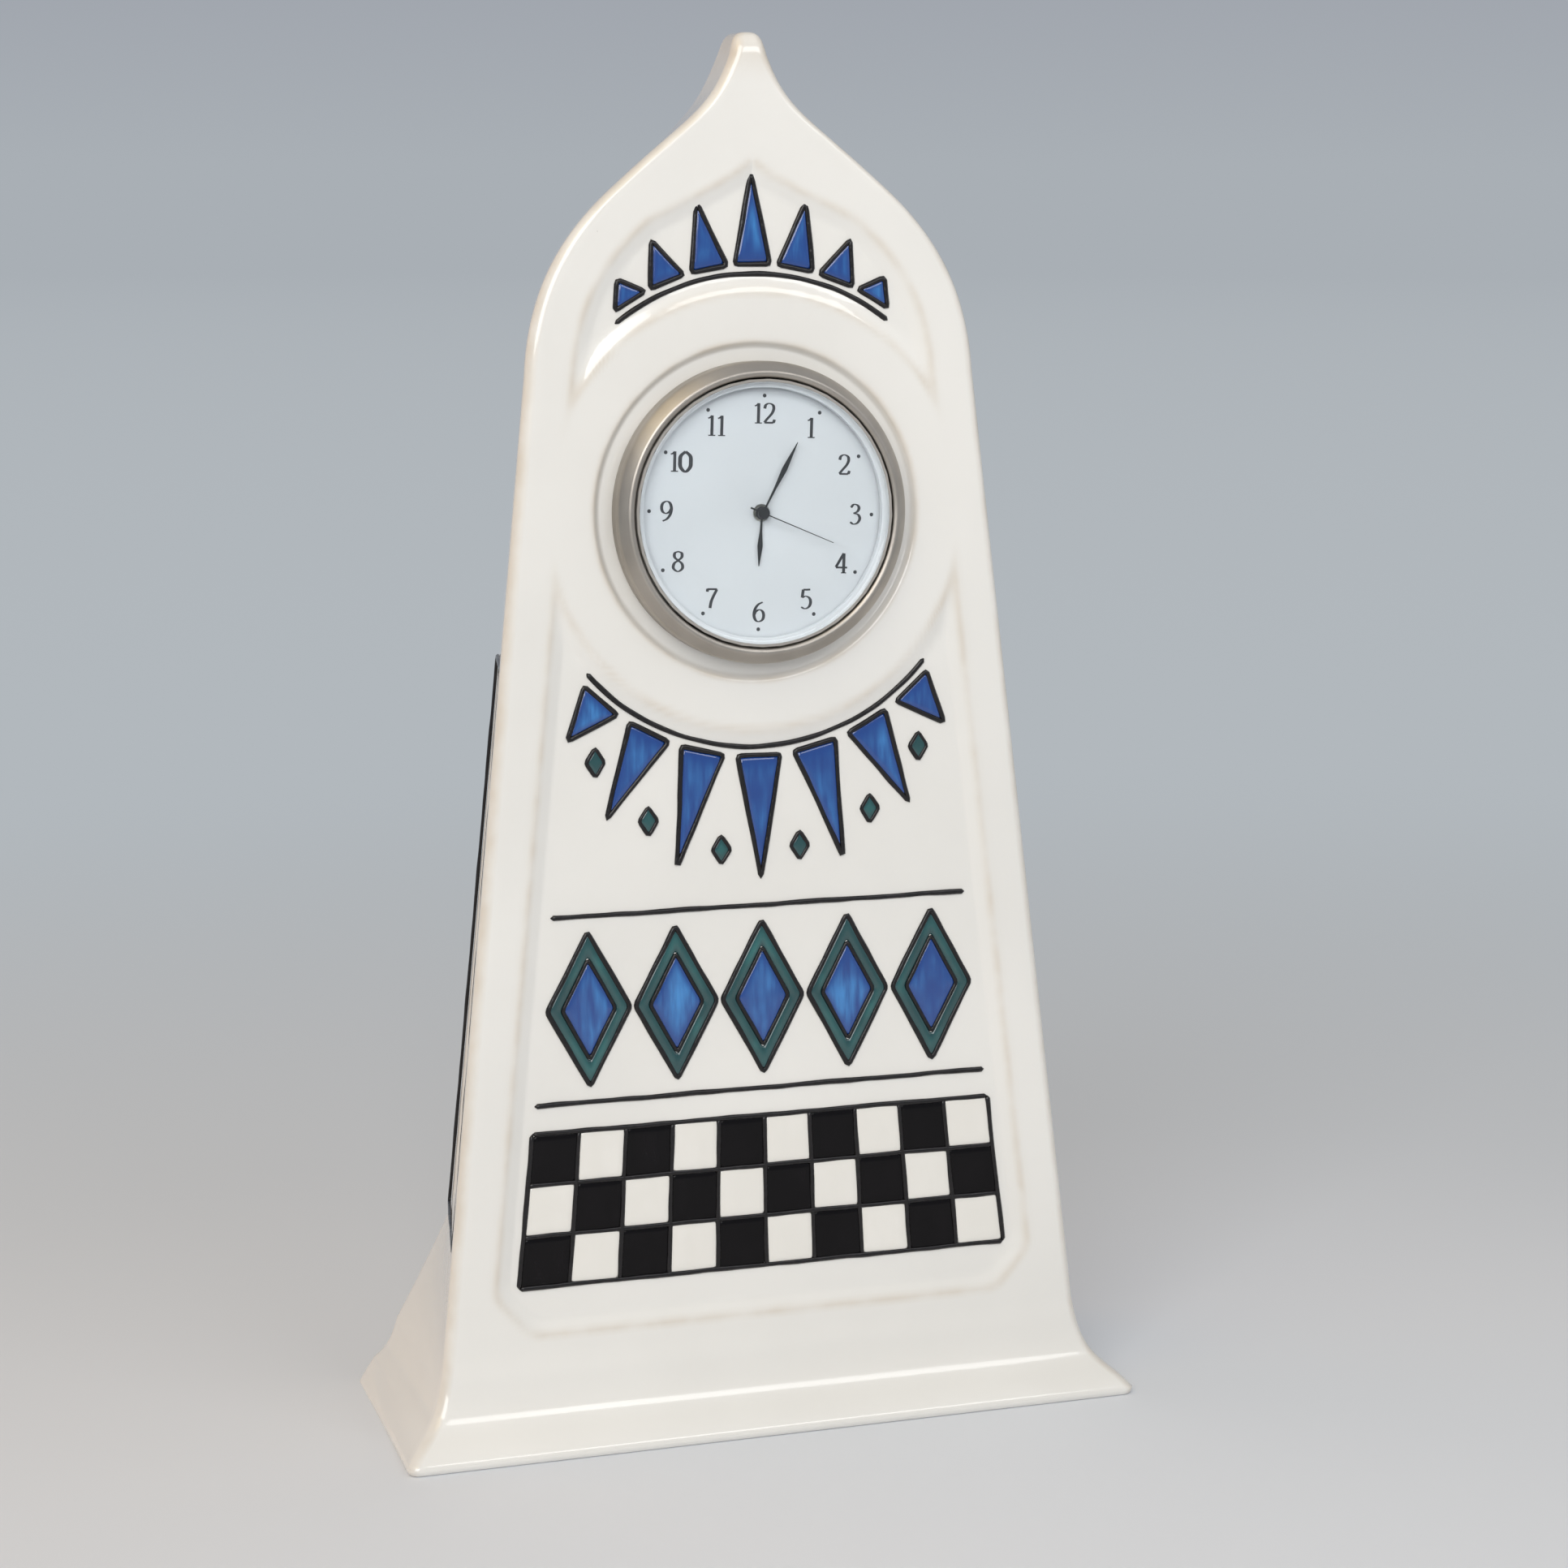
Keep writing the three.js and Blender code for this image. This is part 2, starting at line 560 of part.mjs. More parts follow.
// The panel under the dial: its top is the same circle, its sides follow the case, its lower corners are cut.
function lowerOutline(inset) {
  const radius = DIAL_SURROUND + inset;
  const edge = (z) => sideAt(z) - PANEL_MARGIN - inset;
  const bottom = PANEL_BOTTOM + inset;
  const cut = PANEL_CHAMFER - 0.4 * inset;
  const low = bottom + cut;
  const side = Array.from({ length: TRACE_STEPS }, (_, i) => {
    const z = dialHeight - ((dialHeight - low) * i) / (TRACE_STEPS - 1);
    return new THREE.Vector2(edge(z), upFace(z));
  });
  const run = cutRun(side, (p) => p.length() > radius);
  return mirrored([...surroundArc(radius, run[0], -1, LOWER_ARC_STEPS), run[0], run.at(-1),
    new THREE.Vector2(edge(low) - cut, upFace(bottom)), new THREE.Vector2(0, upFace(bottom))]);
}

// The tool that sinks a panel: its floor is the inset outline, and its sides slope out to the full outline.
function panelCutter(edge) {
  const level = (inset, z) => edge(inset).map((p) => new THREE.Vector3(p.x, p.y, z));
  return loft([level(PANEL_BEVEL, -PANEL_DEPTH), level(0, 0), level(0, 2 * PANEL_DEPTH)]);
}

// A tall panel on a side face, with its corners cut: in its frame, x runs from front to back and y up.
function sidePanel(sign) {
  const [bottom, top] = [SIDE_PANEL_BOTTOM, SIDE_PANEL_TOP];
  const depthAt = (z) => frontPlane(z) + backPlane(z);
  const middleOf = (z) => new THREE.Vector3(
    sign * (sideAt(z) - (SIDE_DRAFT * depthAt(z)) / 2), (backPlane(z) - frontPlane(z)) / 2, z);
  const height = top - bottom;
  const halfAt = (v) => depthAt(bottom + v) / 2 - SIDE_PANEL_MARGIN;
  const edge = (inset) => {
    const half = (v) => halfAt(v) - inset;
    const [low, high, cut] = [inset, height - inset, SIDE_PANEL_CHAMFER];
    return mirrored([[0, low], [half(low) - cut, low], [half(low), low + cut], [half(high), high - cut],
      [half(high) - cut, high], [0, high]].map(([x, y]) => new THREE.Vector2(x, y)));
  };
  const up = middleOf(top).sub(middleOf(bottom)).normalize();
  const back = new THREE.Vector3(-sign * SIDE_DRAFT, 1, 0);
  const out = new THREE.Vector3().crossVectors(back, up).multiplyScalar(sign).normalize();
  const across = new THREE.Vector3().crossVectors(up, out);
  const place = new THREE.Matrix4().makeBasis(across, up, out).setPosition(middleOf(bottom));
  return panelCutter(edge).transform(Array.from(place.elements));
}

// The case: cast shell, hollow, recessed base with a vent, dial hole with its seat, and sunk panels.
function potteryCase() {
  const skin = loft(outline.map((p) => caseRing(p.x, p.y, 0)));
  const inside = outline.filter((p, i) => p.y > FLOOR && p.y < HEIGHT - HOLLOW_DROP && i % 2 === 0);
  const lowest = new THREE.Vector2(halfWidthAt(FLOOR), FLOOR);
  const hollow = loft([lowest, ...inside].map((p) => caseRing(p.x, p.y, WALL)));
  const recess = loft([-OVERCUT, RIM_HEIGHT].map((height) => caseRing(FOOT_HALF_WIDTH, 0, FOOT_RIM, height)));
  const vent = disc(VENT_RADIUS, -OVERCUT, FLOOR + OVERCUT, CELL_STEPS);
  const hole = disc(holeRadius, -2 * WALL, OVERCUT, ROUND_STEPS);
  const seat = disc(SEAT_RADIUS, -SEAT_DEPTH, OVERCUT, FINE_STEPS);
  const front = [hole, seat, panelCutter(archOutline), panelCutter(lowerOutline)]
    .map((tool) => tool.transform(faceMatrix));
  const tools = unite(hollow, recess, vent, ...front, sidePanel(1), sidePanel(-1));
  return piece('pottery_case', skin.subtract(tools), GLAZE);
}

// The angle of a wheel whose gap takes the tooth of the wheel that it meshes with, along the line of centres.
function meshAngle(driverAngle, driverTeeth, teeth, direction) {
  const step = TURN / driverTeeth;
  const off = THREE.MathUtils.euclideanModulo(driverAngle - direction, step);
  return direction + Math.PI - (off * driverTeeth) / teeth + Math.PI / teeth;
}

// A toothed disc, turned to an angle: small ones have trapezium teeth, and large ones pointed teeth.
function toothed(teeth, module, angle, low, high, bore = 0) {
  const pitch = TURN / teeth;
  const root = (module * teeth) / 2 - 1.05 * module;
  const tip = (module * teeth) / 2 + 0.75 * module;
  const flanks = teeth > 2 * CANNON_TEETH
    ? [[root, -0.5], [tip, 0]]
    : [[root, -0.27], [tip, -0.12], [tip, 0.12], [root, 0.27]];
  const tooth = (_, i) => flanks.map(([r, share]) => polar(r, angle + (i + share) * pitch));
  return plate(Array.from({ length: teeth }, tooth).flat(), low, high, bore ? [[0, 0, bore]] : []);
}

// What closes the insert at the front: bezel, crystal and its gasket, spacer and dial with its two feet.
function crystalAndDial() {
  const inner = CUP_RADIUS + FIT;
  const rounding = BEZEL_ROUNDING;
  const bezel = turned([[inner, bezelBottom], [BEZEL_RADIUS - rounding, bezelBottom],
    [BEZEL_RADIUS, bezelBottom + rounding], [BEZEL_RADIUS, BEZEL_EDGE],
    [BEZEL_RADIUS - rounding / 2, BEZEL_EDGE + rounding],
    [bezelBore + 2 * rounding, BEZEL_PROUD - rounding / 3], [bezelBore + rounding, BEZEL_PROUD],
    [bezelBore + CRYSTAL_SUNK, BEZEL_PROUD], [bezelBore, crystalTop], [bezelBore, flangeTop],
    [inner, flangeTop]], FINE_STEPS);
  const bevelLow = crystalTop - CRYSTAL_BEVEL;
  const crystal = turned([[0, crystalBottom], [CRYSTAL_RADIUS, crystalBottom], [CRYSTAL_RADIUS, bevelLow],
    [CRYSTAL_RADIUS - CRYSTAL_BEVEL, crystalTop], [0, crystalTop]], ROUND_STEPS);
  const seal = CRYSTAL_RADIUS + FIT;
  const gasket = ring(seal, seal + GASKET_WIDTH, crystalBottom, bevelLow, ROUND_STEPS);
  const spacer = ring(CRYSTAL_RADIUS - SPACER_WIDTH, seal, dialTop + GAP, spacerTop, ROUND_STEPS);
  const footTop = dialBottom + DIAL_THICKNESS / 2;
  const feet = dialFeetAt.map((at) => disc(POST_RADIUS, plateTop, footTop, HOLE_STEPS, at));
  const face = ring(HUB_RADIUS + GAP, CRYSTAL_RADIUS - GAP, dialBottom, dialTop, ROUND_STEPS);
  return [
    piece('bezel', bezel, SATIN_NICKEL),
    piece('crystal', crystal, GLASS),
    piece('crystal_gasket', gasket, BLACK_RUBBER),
    piece('dial_spacer', spacer, DIAL_WHITE),
    piece('dial', unite(face, ...feet), DIAL_WHITE),
  ];
}

// A slotted screw driven upwards, with its head under a face.
function screw(name, [x, y], face, reach) {
  const headTop = face - FIT;
  const headLow = headTop - SCREW_HEAD_HEIGHT;
  const slot = box(2 * SCREW_HEAD, SCREW_SLOT, headLow - OVERCUT, headLow + SCREW_SLOT);
  const head = disc(SCREW_HEAD, headLow, headTop, BOSS_STEPS).subtract(slot);
  const shank = disc(SCREW_SHANK, headTop - FIT, face + reach, HOLE_STEPS);
  return piece(name, unite(head, shank).translate([x, y, 0]), STEEL);
}

// The cup: a rim that the bezel's flange holds, a ledge for the movement, and bosses for the cover's screws.
function cupAndCover() {
  const rimRadius = bezelBore - GAP;
  const shell = turned([[cupBore, -CUP_DEPTH], [CUP_RADIUS, -CUP_DEPTH], [CUP_RADIUS, rimBottom],
    [rimRadius, rimBottom], [rimRadius, rimTop], [cupBore, rimTop], [cupBore, ledgeTop],
    [cupBore - CUP_LEDGE, ledgeTop], [cupBore, ledgeTop - CUP_LEDGE]], ROUND_STEPS);
  const shank = SCREW_SHANK + FIT;
  const boreTop = coverBottom + 2 * REAR_SCREW_REACH;
  const bosses = rearScrewsAt.map((at) => disc(BOSS_RADIUS, -CUP_DEPTH, ledgeTop - GAP, BOSS_STEPS, at));
  const bores = rearScrewsAt.map((at) => disc(shank, -CUP_DEPTH - OVERCUT, boreTop, HOLE_STEPS, at));
  const keep = disc(CUP_RADIUS - CUP_WALL / 2, -CUP_DEPTH, rimTop, ROUND_STEPS);
  const cup = shell.add(unite(...bosses).intersect(keep)).subtract(unite(...bores));
  const rib = (share, out) => [gripRadius - (out ? 0 : GRIP_RIB), -GRIP_START - share * GRIP_HEIGHT];
  const sleeve = CUP_RADIUS + FIT;
  const grip = turned([[sleeve, -GRIP_START], [sleeve, -GRIP_START - GRIP_HEIGHT], rib(1, false),
    rib(0.75, true), rib(0.5, false), rib(0.25, true), rib(0, false)], ROUND_STEPS);
  const cut = (radius, at, steps) => disc(radius, coverBottom - OVERCUT, coverTop + OVERCUT, steps, at);
  const cover = disc(CUP_RADIUS - COVER_MARGIN, coverBottom, coverTop, ROUND_STEPS)
    .subtract(unite(cut(hatchRadius + FIT, batteryAt, CELL_STEPS), cut(STEM_RADIUS + GAP, stemAt, BOSS_STEPS),
      ...rearScrewsAt.map((at) => cut(shank, at, HOLE_STEPS))));
  const [slotLength, slotWidth, slotDepth] = HATCH_SLOT;
  const slot = box(slotLength, slotWidth, coverBottom - OVERCUT, coverBottom + slotDepth);
  const hatch = disc(hatchRadius, coverBottom, coverTop, CELL_STEPS).subtract(slot)
    .translate([...batteryAt, 0]);
  return [
    piece('insert_cup', cup, STEEL),
    piece('grip_ring', grip, BLACK_RUBBER),
    piece('rear_cover', cover, STEEL),
    piece('battery_cover', hatch, STEEL),
    ...rearScrewsAt.map((at, i) => screw(`rear_screw_${i + 1}`, at, coverBottom, REAR_SCREW_REACH)),
  ];
}

// The main plate with its pillars and the minute wheel's post, and the train bridge.
function movement() {
  const pivot = ARBOR_RADIUS + FIT;
  const pivots = [thirdAt, intermediateAt, rotorAt].map((at) => [...at, pivot]);
  const bore = ([x, y, r]) => disc(r, plateBottom - OVERCUT, plateTop + OVERCUT, BOSS_STEPS, [x, y]);
  const holes = [[...centreAt, CENTRE_TUBE + GAP / 2], ...pivots, [...stemAt, STEM_RADIUS + FIT],
    ...dialFeetAt.map((at) => [...at, POST_RADIUS + FIT])];
  const post = disc(POST_RADIUS, plateTop - FIT, dialBottom - GAP, HOLE_STEPS, minuteAt);
  const legs = pillarsAt.map((at) => disc(PILLAR_RADIUS, bridgeTop + FIT, plateBottom + FIT, HOLE_STEPS, at));
  const pilotTop = bridgeBottom + BRIDGE_SCREW_REACH + GAP;
  const pilots = pillarsAt.map((at) => disc(SCREW_SHANK + FIT, bridgeTop, pilotTop, HOLE_STEPS, at));
  const main = unite(disc(plateRadius, plateBottom, plateTop, ROUND_STEPS), post, ...legs)
    .subtract(unite(...holes.map(bore), ...pilots));
  const [right, low, left] = pillarsAt;
  const spans = [[right, thirdAt], [right, centreAt], [thirdAt, centreAt], [centreAt, low],
    [centreAt, intermediateAt], [intermediateAt, rotorAt], [rotorAt, left]];
  const drill = ([x, y, r]) => disc(r, bridgeBottom - OVERCUT, bridgeTop + OVERCUT, HOLE_STEPS, [x, y]);
  const drilled = [[...centreAt, pivot], ...pivots, ...pillarsAt.map((at) => [...at, SCREW_SHANK + FIT])];
  const bars = spans.map(([from, to]) => strap(from, to, BRIDGE_HALF_WIDTH, bridgeBottom, bridgeTop));
  const bridge = unite(...bars)
    .subtract(unite(...drilled.map(drill)));
  return [
    piece('main_plate', main, BRASS),
    piece('train_bridge', bridge, BRASS),
    ...pillarsAt.map((at, i) => screw(`bridge_screw_${i + 1}`, at, bridgeBottom, BRIDGE_SCREW_REACH)),
  ];
}

// The motor: a wound bobbin on its core, and a stator plate round the rotor. It is drawn with the coil above.
function motor() {
  const turnIn = (solid) => solid.rotate([0, 0, THREE.MathUtils.radToDeg(COIL_ANGLE) - 90]);
  const middle = statorTop - STATOR_THICKNESS / 2;
  const half = COIL_LENGTH / 2;
  const waist = COIL_RADIUS - COIL_SUNK;
  const bore = CORE_WIDTH / 2 + CORE_ROOM;
  const flange = half - COIL_FLANGE;
  const spool = turned([[bore, -half], [COIL_RADIUS, -half], [COIL_RADIUS, -flange], [waist, -flange],
    [waist, flange], [COIL_RADIUS, flange], [COIL_RADIUS, half], [bore, half]], BOSS_STEPS)
    .rotate([0, 90, 0]).translate([0, COIL_DISTANCE, middle]);
  const reach = half + CORE_REACH;
  const core = box(2 * reach, CORE_WIDTH, middle - CORE_THICKNESS / 2, middle + CORE_THICKNESS / 2)
    .translate([0, COIL_DISTANCE, 0]);
  const rotorHere = new THREE.Vector2(...rotorAt).rotateAround(new THREE.Vector2(), Math.PI / 2 - COIL_ANGLE);
  const armTop = COIL_DISTANCE - CORE_WIDTH / 2 - GAP;
  const arm = reach - STATOR_ARM;
  const shelf = COIL_DISTANCE - COIL_RADIUS - GAP;
  const base = rotorHere.y - STATOR_MARGIN;
  const outer = [[-reach, base], [reach, base], [reach, armTop], [arm, armTop], [arm, shelf], [-arm, shelf],
    [-arm, armTop], [-reach, armTop]];
  const rotorHole = [...rotorHere, MAGNET_RADIUS + MAGNET_ROOM];
  const stator = plate(outer, statorTop - STATOR_THICKNESS, statorTop, [rotorHole]);
  const room = PILLAR_RADIUS + GAP;
  const clear = unite(...pillarsAt.map((at) => disc(room, bridgeTop, plateBottom, HOLE_STEPS, at)));
  return [
    piece('coil', turnIn(spool), COPPER),
    piece('coil_core', turnIn(core), STEEL),
    piece('stator', turnIn(stator).subtract(clear), STEEL),
  ];
}

// The cell, its two contacts, the board, the chip and the timing crystal's can.
function circuit() {
  const step = BATTERY_STEP;
  const cap = BATTERY_RADIUS - BATTERY_CAP_INSET;
  const shoulder = batteryTop - step;
  const cell = turned([[0, batteryLow], [BATTERY_RADIUS - step, batteryLow],
    [BATTERY_RADIUS, batteryLow + step], [BATTERY_RADIUS, shoulder], [cap, shoulder], [cap, batteryTop],
    [0, batteryTop]], CELL_STEPS)
    .translate([...batteryAt, 0]);
  const board = sector(BOARD_INNER, BOARD_OUTER, BOARD_START, BOARD_END, bridgeBottom, bridgeTop,
    [[...stemAt, STEM_RADIUS + GAP]]);
  const leafLow = batteryTop + GAP;
  const leafTop = leafLow + CONTACT_THICKNESS;
  const half = CONTACT_STRIP / 2;
  const soldered = BOARD_END + GAP / CONTACT_TRACK;
  const negative = unite(disc(CONTACT_RADIUS, leafLow, leafTop, BOSS_STEPS, batteryAt),
    strap(batteryAt, polar(CONTACT_TRACK, CONTACT_TURN), half, leafLow, leafTop),
    sector(CONTACT_TRACK - half, CONTACT_TRACK + half, soldered, CONTACT_TURN, leafLow, leafTop));
  const clipInner = BATTERY_RADIUS + CLIP_ROOM;
  const clipAngle = BATTERY_ANGLE + Math.PI / 2;
  const positive = sector(clipInner, clipInner + CONTACT_THICKNESS, clipAngle - CLIP_SPREAD,
    clipAngle + CLIP_SPREAD, batteryLow + step, plateBottom - GAP).translate([...batteryAt, 0]);
  const chipTop = bridgeBottom - GAP;
  const chip = box(CHIP_SIZE, CHIP_SIZE, chipTop - CHIP_HEIGHT, chipTop)
    .translate([...polar(CHIP_DISTANCE, CHIP_ANGLE), 0]);
  const can = disc(CAN_RADIUS, -CAN_LENGTH / 2, CAN_LENGTH / 2, BOSS_STEPS)
    .rotate([90, 0, THREE.MathUtils.radToDeg(CAN_ANGLE)])
    .translate([...polar(CAN_DISTANCE, CAN_ANGLE), chipTop - CAN_RADIUS]);
  return [
    piece('battery', cell, STEEL),
    piece('circuit_board', board, BOARD_GREEN),
    piece('contact_negative', negative, STEEL),
    piece('contact_positive', positive, STEEL),
    piece('chip', chip, DARK_PLASTIC),
    piece('quartz_crystal_can', can, STEEL),
  ];
}

// A spear-shaped hand that points to twelve, with a round boss and its bore.
function spearHand(length, low, bore) {
  const high = low + HAND_THICKNESS;
  const half = HAND_SHAPE.map(([wide, far]) => [wide * HAND_WIDTH, far * length]);
  const blade = [...half.map(([x, y]) => [-x, y]), ...half.reverse()];
  return unite(disc(HUB_RADIUS, low, high, BOSS_STEPS), plate(blade, low, high))
    .subtract(disc(bore, low - OVERCUT, high + OVERCUT, BOSS_STEPS));
}

const handAngle = (share) => THREE.MathUtils.radToDeg(-TURN * share);

// Motion work between plate and dial: cannon, minute wheel, hour wheel and the setting stem with its knob.
function motionWork() {
  const low = plateTop + GAP / 2;
  const high = low + MOTION_WHEEL_THICKNESS;
  const hourLow = high + MOTION_STEP;
  const hourTop = hourLow + WHEEL_THICKNESS;
  const minuteTurn = meshAngle(0, CANNON_TEETH, MINUTE_TEETH, MINUTE_ANGLE);
  const stemTurn = meshAngle(minuteTurn, MINUTE_TEETH, CANNON_TEETH, MINUTE_ANGLE);
  const hourTurn = meshAngle(0, MINUTE_PINION_TEETH, HOUR_TEETH, MINUTE_ANGLE + Math.PI);
  const pipeTop = (handLow) => handLow + HAND_THICKNESS + PIPE_REACH;
  const cannon = unite(toothed(CANNON_TEETH, motionModule, 0, low, high, CENTRE_TUBE + FIT),
    ring(ARBOR_RADIUS + FIT, CANNON_PIPE, high, pipeTop(minuteHandLow), BOSS_STEPS),
    ring(ARBOR_RADIUS + FIT, CANNON_PIPE + PIPE_REACH, high - PIPE_REACH, high + PIPE_REACH, BOSS_STEPS));
  const minuteHand = spearHand(MINUTE_HAND_LENGTH, minuteHandLow, CANNON_PIPE + FIT)
    .rotate([0, 0, handAngle(SHOWN_MINUTES / 60)]);
  const hourBore = CANNON_PIPE + 2 * FIT;
  const hourWheel = unite(toothed(HOUR_TEETH, hourModule, hourTurn, hourLow, hourTop, hourBore),
    ring(hourBore, HOUR_PIPE, hourLow, pipeTop(hourHandLow), BOSS_STEPS));
  const hourHand = spearHand(HOUR_HAND_LENGTH, hourHandLow, HOUR_PIPE + FIT)
    .rotate([0, 0, handAngle(SHOWN_HOURS / 12)]);
  const minuteWheel = unite(toothed(MINUTE_TEETH, motionModule, minuteTurn, low, high, POST_RADIUS + FIT),
    toothed(MINUTE_PINION_TEETH, hourModule, 0, high - FIT, hourTop + FIT, POST_RADIUS + FIT))
    .translate([...minuteAt, 0]);
  const knobTop = coverBottom - GAP;
  const knobLow = knobTop - KNOB_HEIGHT;
  const stemLow = knobTop - KNOB_HEIGHT / 2;
  const stemPinion = toothed(CANNON_TEETH, motionModule, stemTurn, low, high);
  const stem = unite(stemPinion, disc(STEM_RADIUS, stemLow, high, HOLE_STEPS)).translate([...stemAt, 0]);
  const rim = Array.from({ length: 2 * KNOB_FLUTES }, (_, i) =>
    polar(KNOB_RADIUS - (i % 2) * KNOB_FLUTE_DEPTH, (i * Math.PI) / KNOB_FLUTES));
  const socket = disc(STEM_RADIUS + FIT, stemLow - FIT, coverBottom, HOLE_STEPS);
  const knob = plate(rim, knobLow, knobTop).subtract(socket).translate([...stemAt, 0]);
  return [
    piece('cannon_pinion', cannon, BRASS),
    piece('minute_hand', minuteHand, BLACK_ENAMEL),
    piece('hour_wheel', hourWheel, WHEEL_PLASTIC),
    piece('hour_hand', hourHand, BLACK_ENAMEL),
    piece('minute_wheel', minuteWheel, WHEEL_PLASTIC),
    piece('setting_stem', stem, STEEL),
    piece('setting_knob', knob, DARK_PLASTIC),
  ];
}

// Going train, from the rotor up to the second hand and the centre wheel.
function goingTrain() {
  const flat = (level) => [level - WHEEL_THICKNESS, level];
  const tall = (level) => [level - WHEEL_THICKNESS - PINION_REACH, level + ARBOR_END];
  const pivot = ARBOR_RADIUS + FIT;
  const arbor = (high, at) => disc(ARBOR_RADIUS, bridgeBottom + ARBOR_END, high, HOLE_STEPS, at);
  const secondTurn = meshAngle(0, PINION_TEETH, SECOND_TEETH, ROTOR_ANGLE + Math.PI);
  const thirdTurn = meshAngle(0, PINION_TEETH, THIRD_TEETH, THIRD_ANGLE);
  const centreTurn = meshAngle(0, PINION_TEETH, CENTRE_TEETH, THIRD_ANGLE + Math.PI);
  const rotorTurn = meshAngle(0, INTERMEDIATE_TEETH, ROTOR_PINION_TEETH, ROTOR_ANGLE);
  const plateEnd = plateTop - ARBOR_END;
  const centre = unite(toothed(CENTRE_TEETH, centreModule, centreTurn, ...flat(centreLevel), pivot),
    ring(pivot, CENTRE_TUBE, centreLevel - WHEEL_THICKNESS, plateTop + TUBE_REACH, BOSS_STEPS));
  const second = unite(toothed(SECOND_TEETH, SECOND_MODULE, secondTurn, ...flat(secondLevel)),
    toothed(PINION_TEETH, THIRD_MODULE, 0, ...tall(thirdLevel)), arbor(secondHandLow));
  const third = unite(toothed(THIRD_TEETH, THIRD_MODULE, thirdTurn, ...flat(thirdLevel)),
    toothed(PINION_TEETH, centreModule, 0, ...tall(centreLevel)), arbor(plateEnd)).translate([...thirdAt, 0]);
  const intermediate = unite(toothed(INTERMEDIATE_TEETH, SECOND_MODULE, 0, ...flat(intermediateLevel)),
    toothed(PINION_TEETH, SECOND_MODULE, 0, ...tall(secondLevel)), arbor(plateEnd))
    .translate([...intermediateAt, 0]);
  const rotorLow = intermediateLevel - WHEEL_THICKNESS - ARBOR_END;
  const rotorTop = intermediateLevel + ARBOR_END;
  const rotorTeeth = toothed(ROTOR_PINION_TEETH, SECOND_MODULE, rotorTurn, rotorLow, rotorTop);
  const pinion = unite(rotorTeeth, arbor(plateEnd)).translate([...rotorAt, 0]);
  const magnetLow = rotorTop + GAP / 2;
  const magnet = ring(pivot, MAGNET_RADIUS, magnetLow, magnetLow + MAGNET_HEIGHT, BOSS_STEPS)
    .translate([...rotorAt, 0]);
  const w = SECOND_HAND_WIDTH / 2;
  const [tail, tip] = [-SECOND_HAND_TAIL, SECOND_HAND_LENGTH];
  const needle = plate([[-1.6 * w, tail], [1.6 * w, tail], [w, 0], [0.6 * w, tip], [-0.6 * w, tip], [-w, 0]],
    secondHandLow, secondHandLow + HAND_THICKNESS);
  const hub = disc(SECOND_HUB_RADIUS, secondHandLow, secondHandLow + 2 * HAND_THICKNESS, BOSS_STEPS);
  const socket = disc(pivot, secondHandLow - FIT, secondHandLow + FIT, HOLE_STEPS);
  const secondHand = unite(hub, needle).subtract(socket).rotate([0, 0, handAngle(SHOWN_SECONDS / 60)]);
  return [
    piece('centre_wheel', centre, BRASS),
    piece('second_wheel', second, WHEEL_PLASTIC),
    piece('second_hand', secondHand, BLACK_ENAMEL),
    piece('third_wheel', third, WHEEL_PLASTIC),
    piece('intermediate_wheel', intermediate, WHEEL_PLASTIC),
    piece('rotor_pinion', pinion, STEEL),
    piece('rotor_magnet', magnet, MAGNET_GREY),
  ];
}

const insert = onFace(new THREE.Group());
const turnedInsert = new THREE.Group();
turnedInsert.rotation.z = DIAL_TWIST;
for (const group of [crystalAndDial, cupAndCover, movement, motor, circuit, motionWork, goingTrain]) {
  turnedInsert.add(...group());
}
insert.add(turnedInsert);

const clock = new THREE.Group();
clock.add(potteryCase(), insert);

export default clock;
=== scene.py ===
"""Looks of a pottery mantel clock: glazed case, tube-lined panels and a push-in quartz insert.

Shapes are worked out in millimetres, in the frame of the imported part: +Z up, front facing -Y.
"""

import bmesh
import bpy
import math
import numpy as np
from mathutils import Matrix, Vector


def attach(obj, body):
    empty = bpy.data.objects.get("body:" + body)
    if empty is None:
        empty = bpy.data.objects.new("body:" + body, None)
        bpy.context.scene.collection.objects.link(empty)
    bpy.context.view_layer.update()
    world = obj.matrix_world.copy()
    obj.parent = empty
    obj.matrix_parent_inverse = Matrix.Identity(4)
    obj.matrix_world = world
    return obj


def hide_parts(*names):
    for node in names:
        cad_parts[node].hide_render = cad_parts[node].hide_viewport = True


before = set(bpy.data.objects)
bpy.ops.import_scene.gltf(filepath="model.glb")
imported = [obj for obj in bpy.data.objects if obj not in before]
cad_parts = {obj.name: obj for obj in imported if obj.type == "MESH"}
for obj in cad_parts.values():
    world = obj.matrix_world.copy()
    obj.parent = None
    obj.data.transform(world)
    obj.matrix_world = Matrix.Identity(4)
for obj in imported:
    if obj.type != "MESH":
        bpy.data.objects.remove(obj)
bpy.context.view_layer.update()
MM = 0.001

# Case, outside form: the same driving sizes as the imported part.
HEIGHT = 220
FOOT_HALF_WIDTH = 60.9
FOOT_DEPTH = 46.6
FOOT_LIP = 1.2
COVE_HEIGHT = 15
SIDE_HALF_WIDTH = 54.85
SIDE_LEAN = 0.1092
SHOULDER_HEIGHT = HEIGHT - 52
OGEE_HEIGHT = HEIGHT - 23
OGEE_HALF_WIDTH = 21.5
TIP_HEIGHT = HEIGHT - 3.5
TIP_HALF_WIDTH = 3
CREST_HALF_WIDTH = 0.35
TIP_FRONT = 5.15
TIP_BACK = 7.3
FRONT_FLARE = 7.4
BACK_FLARE = 1.6
SIDE_DRAFT = 0.2
BACK_COVE_HEIGHT = 30
BACK_COVE_WIDTH = 12.6
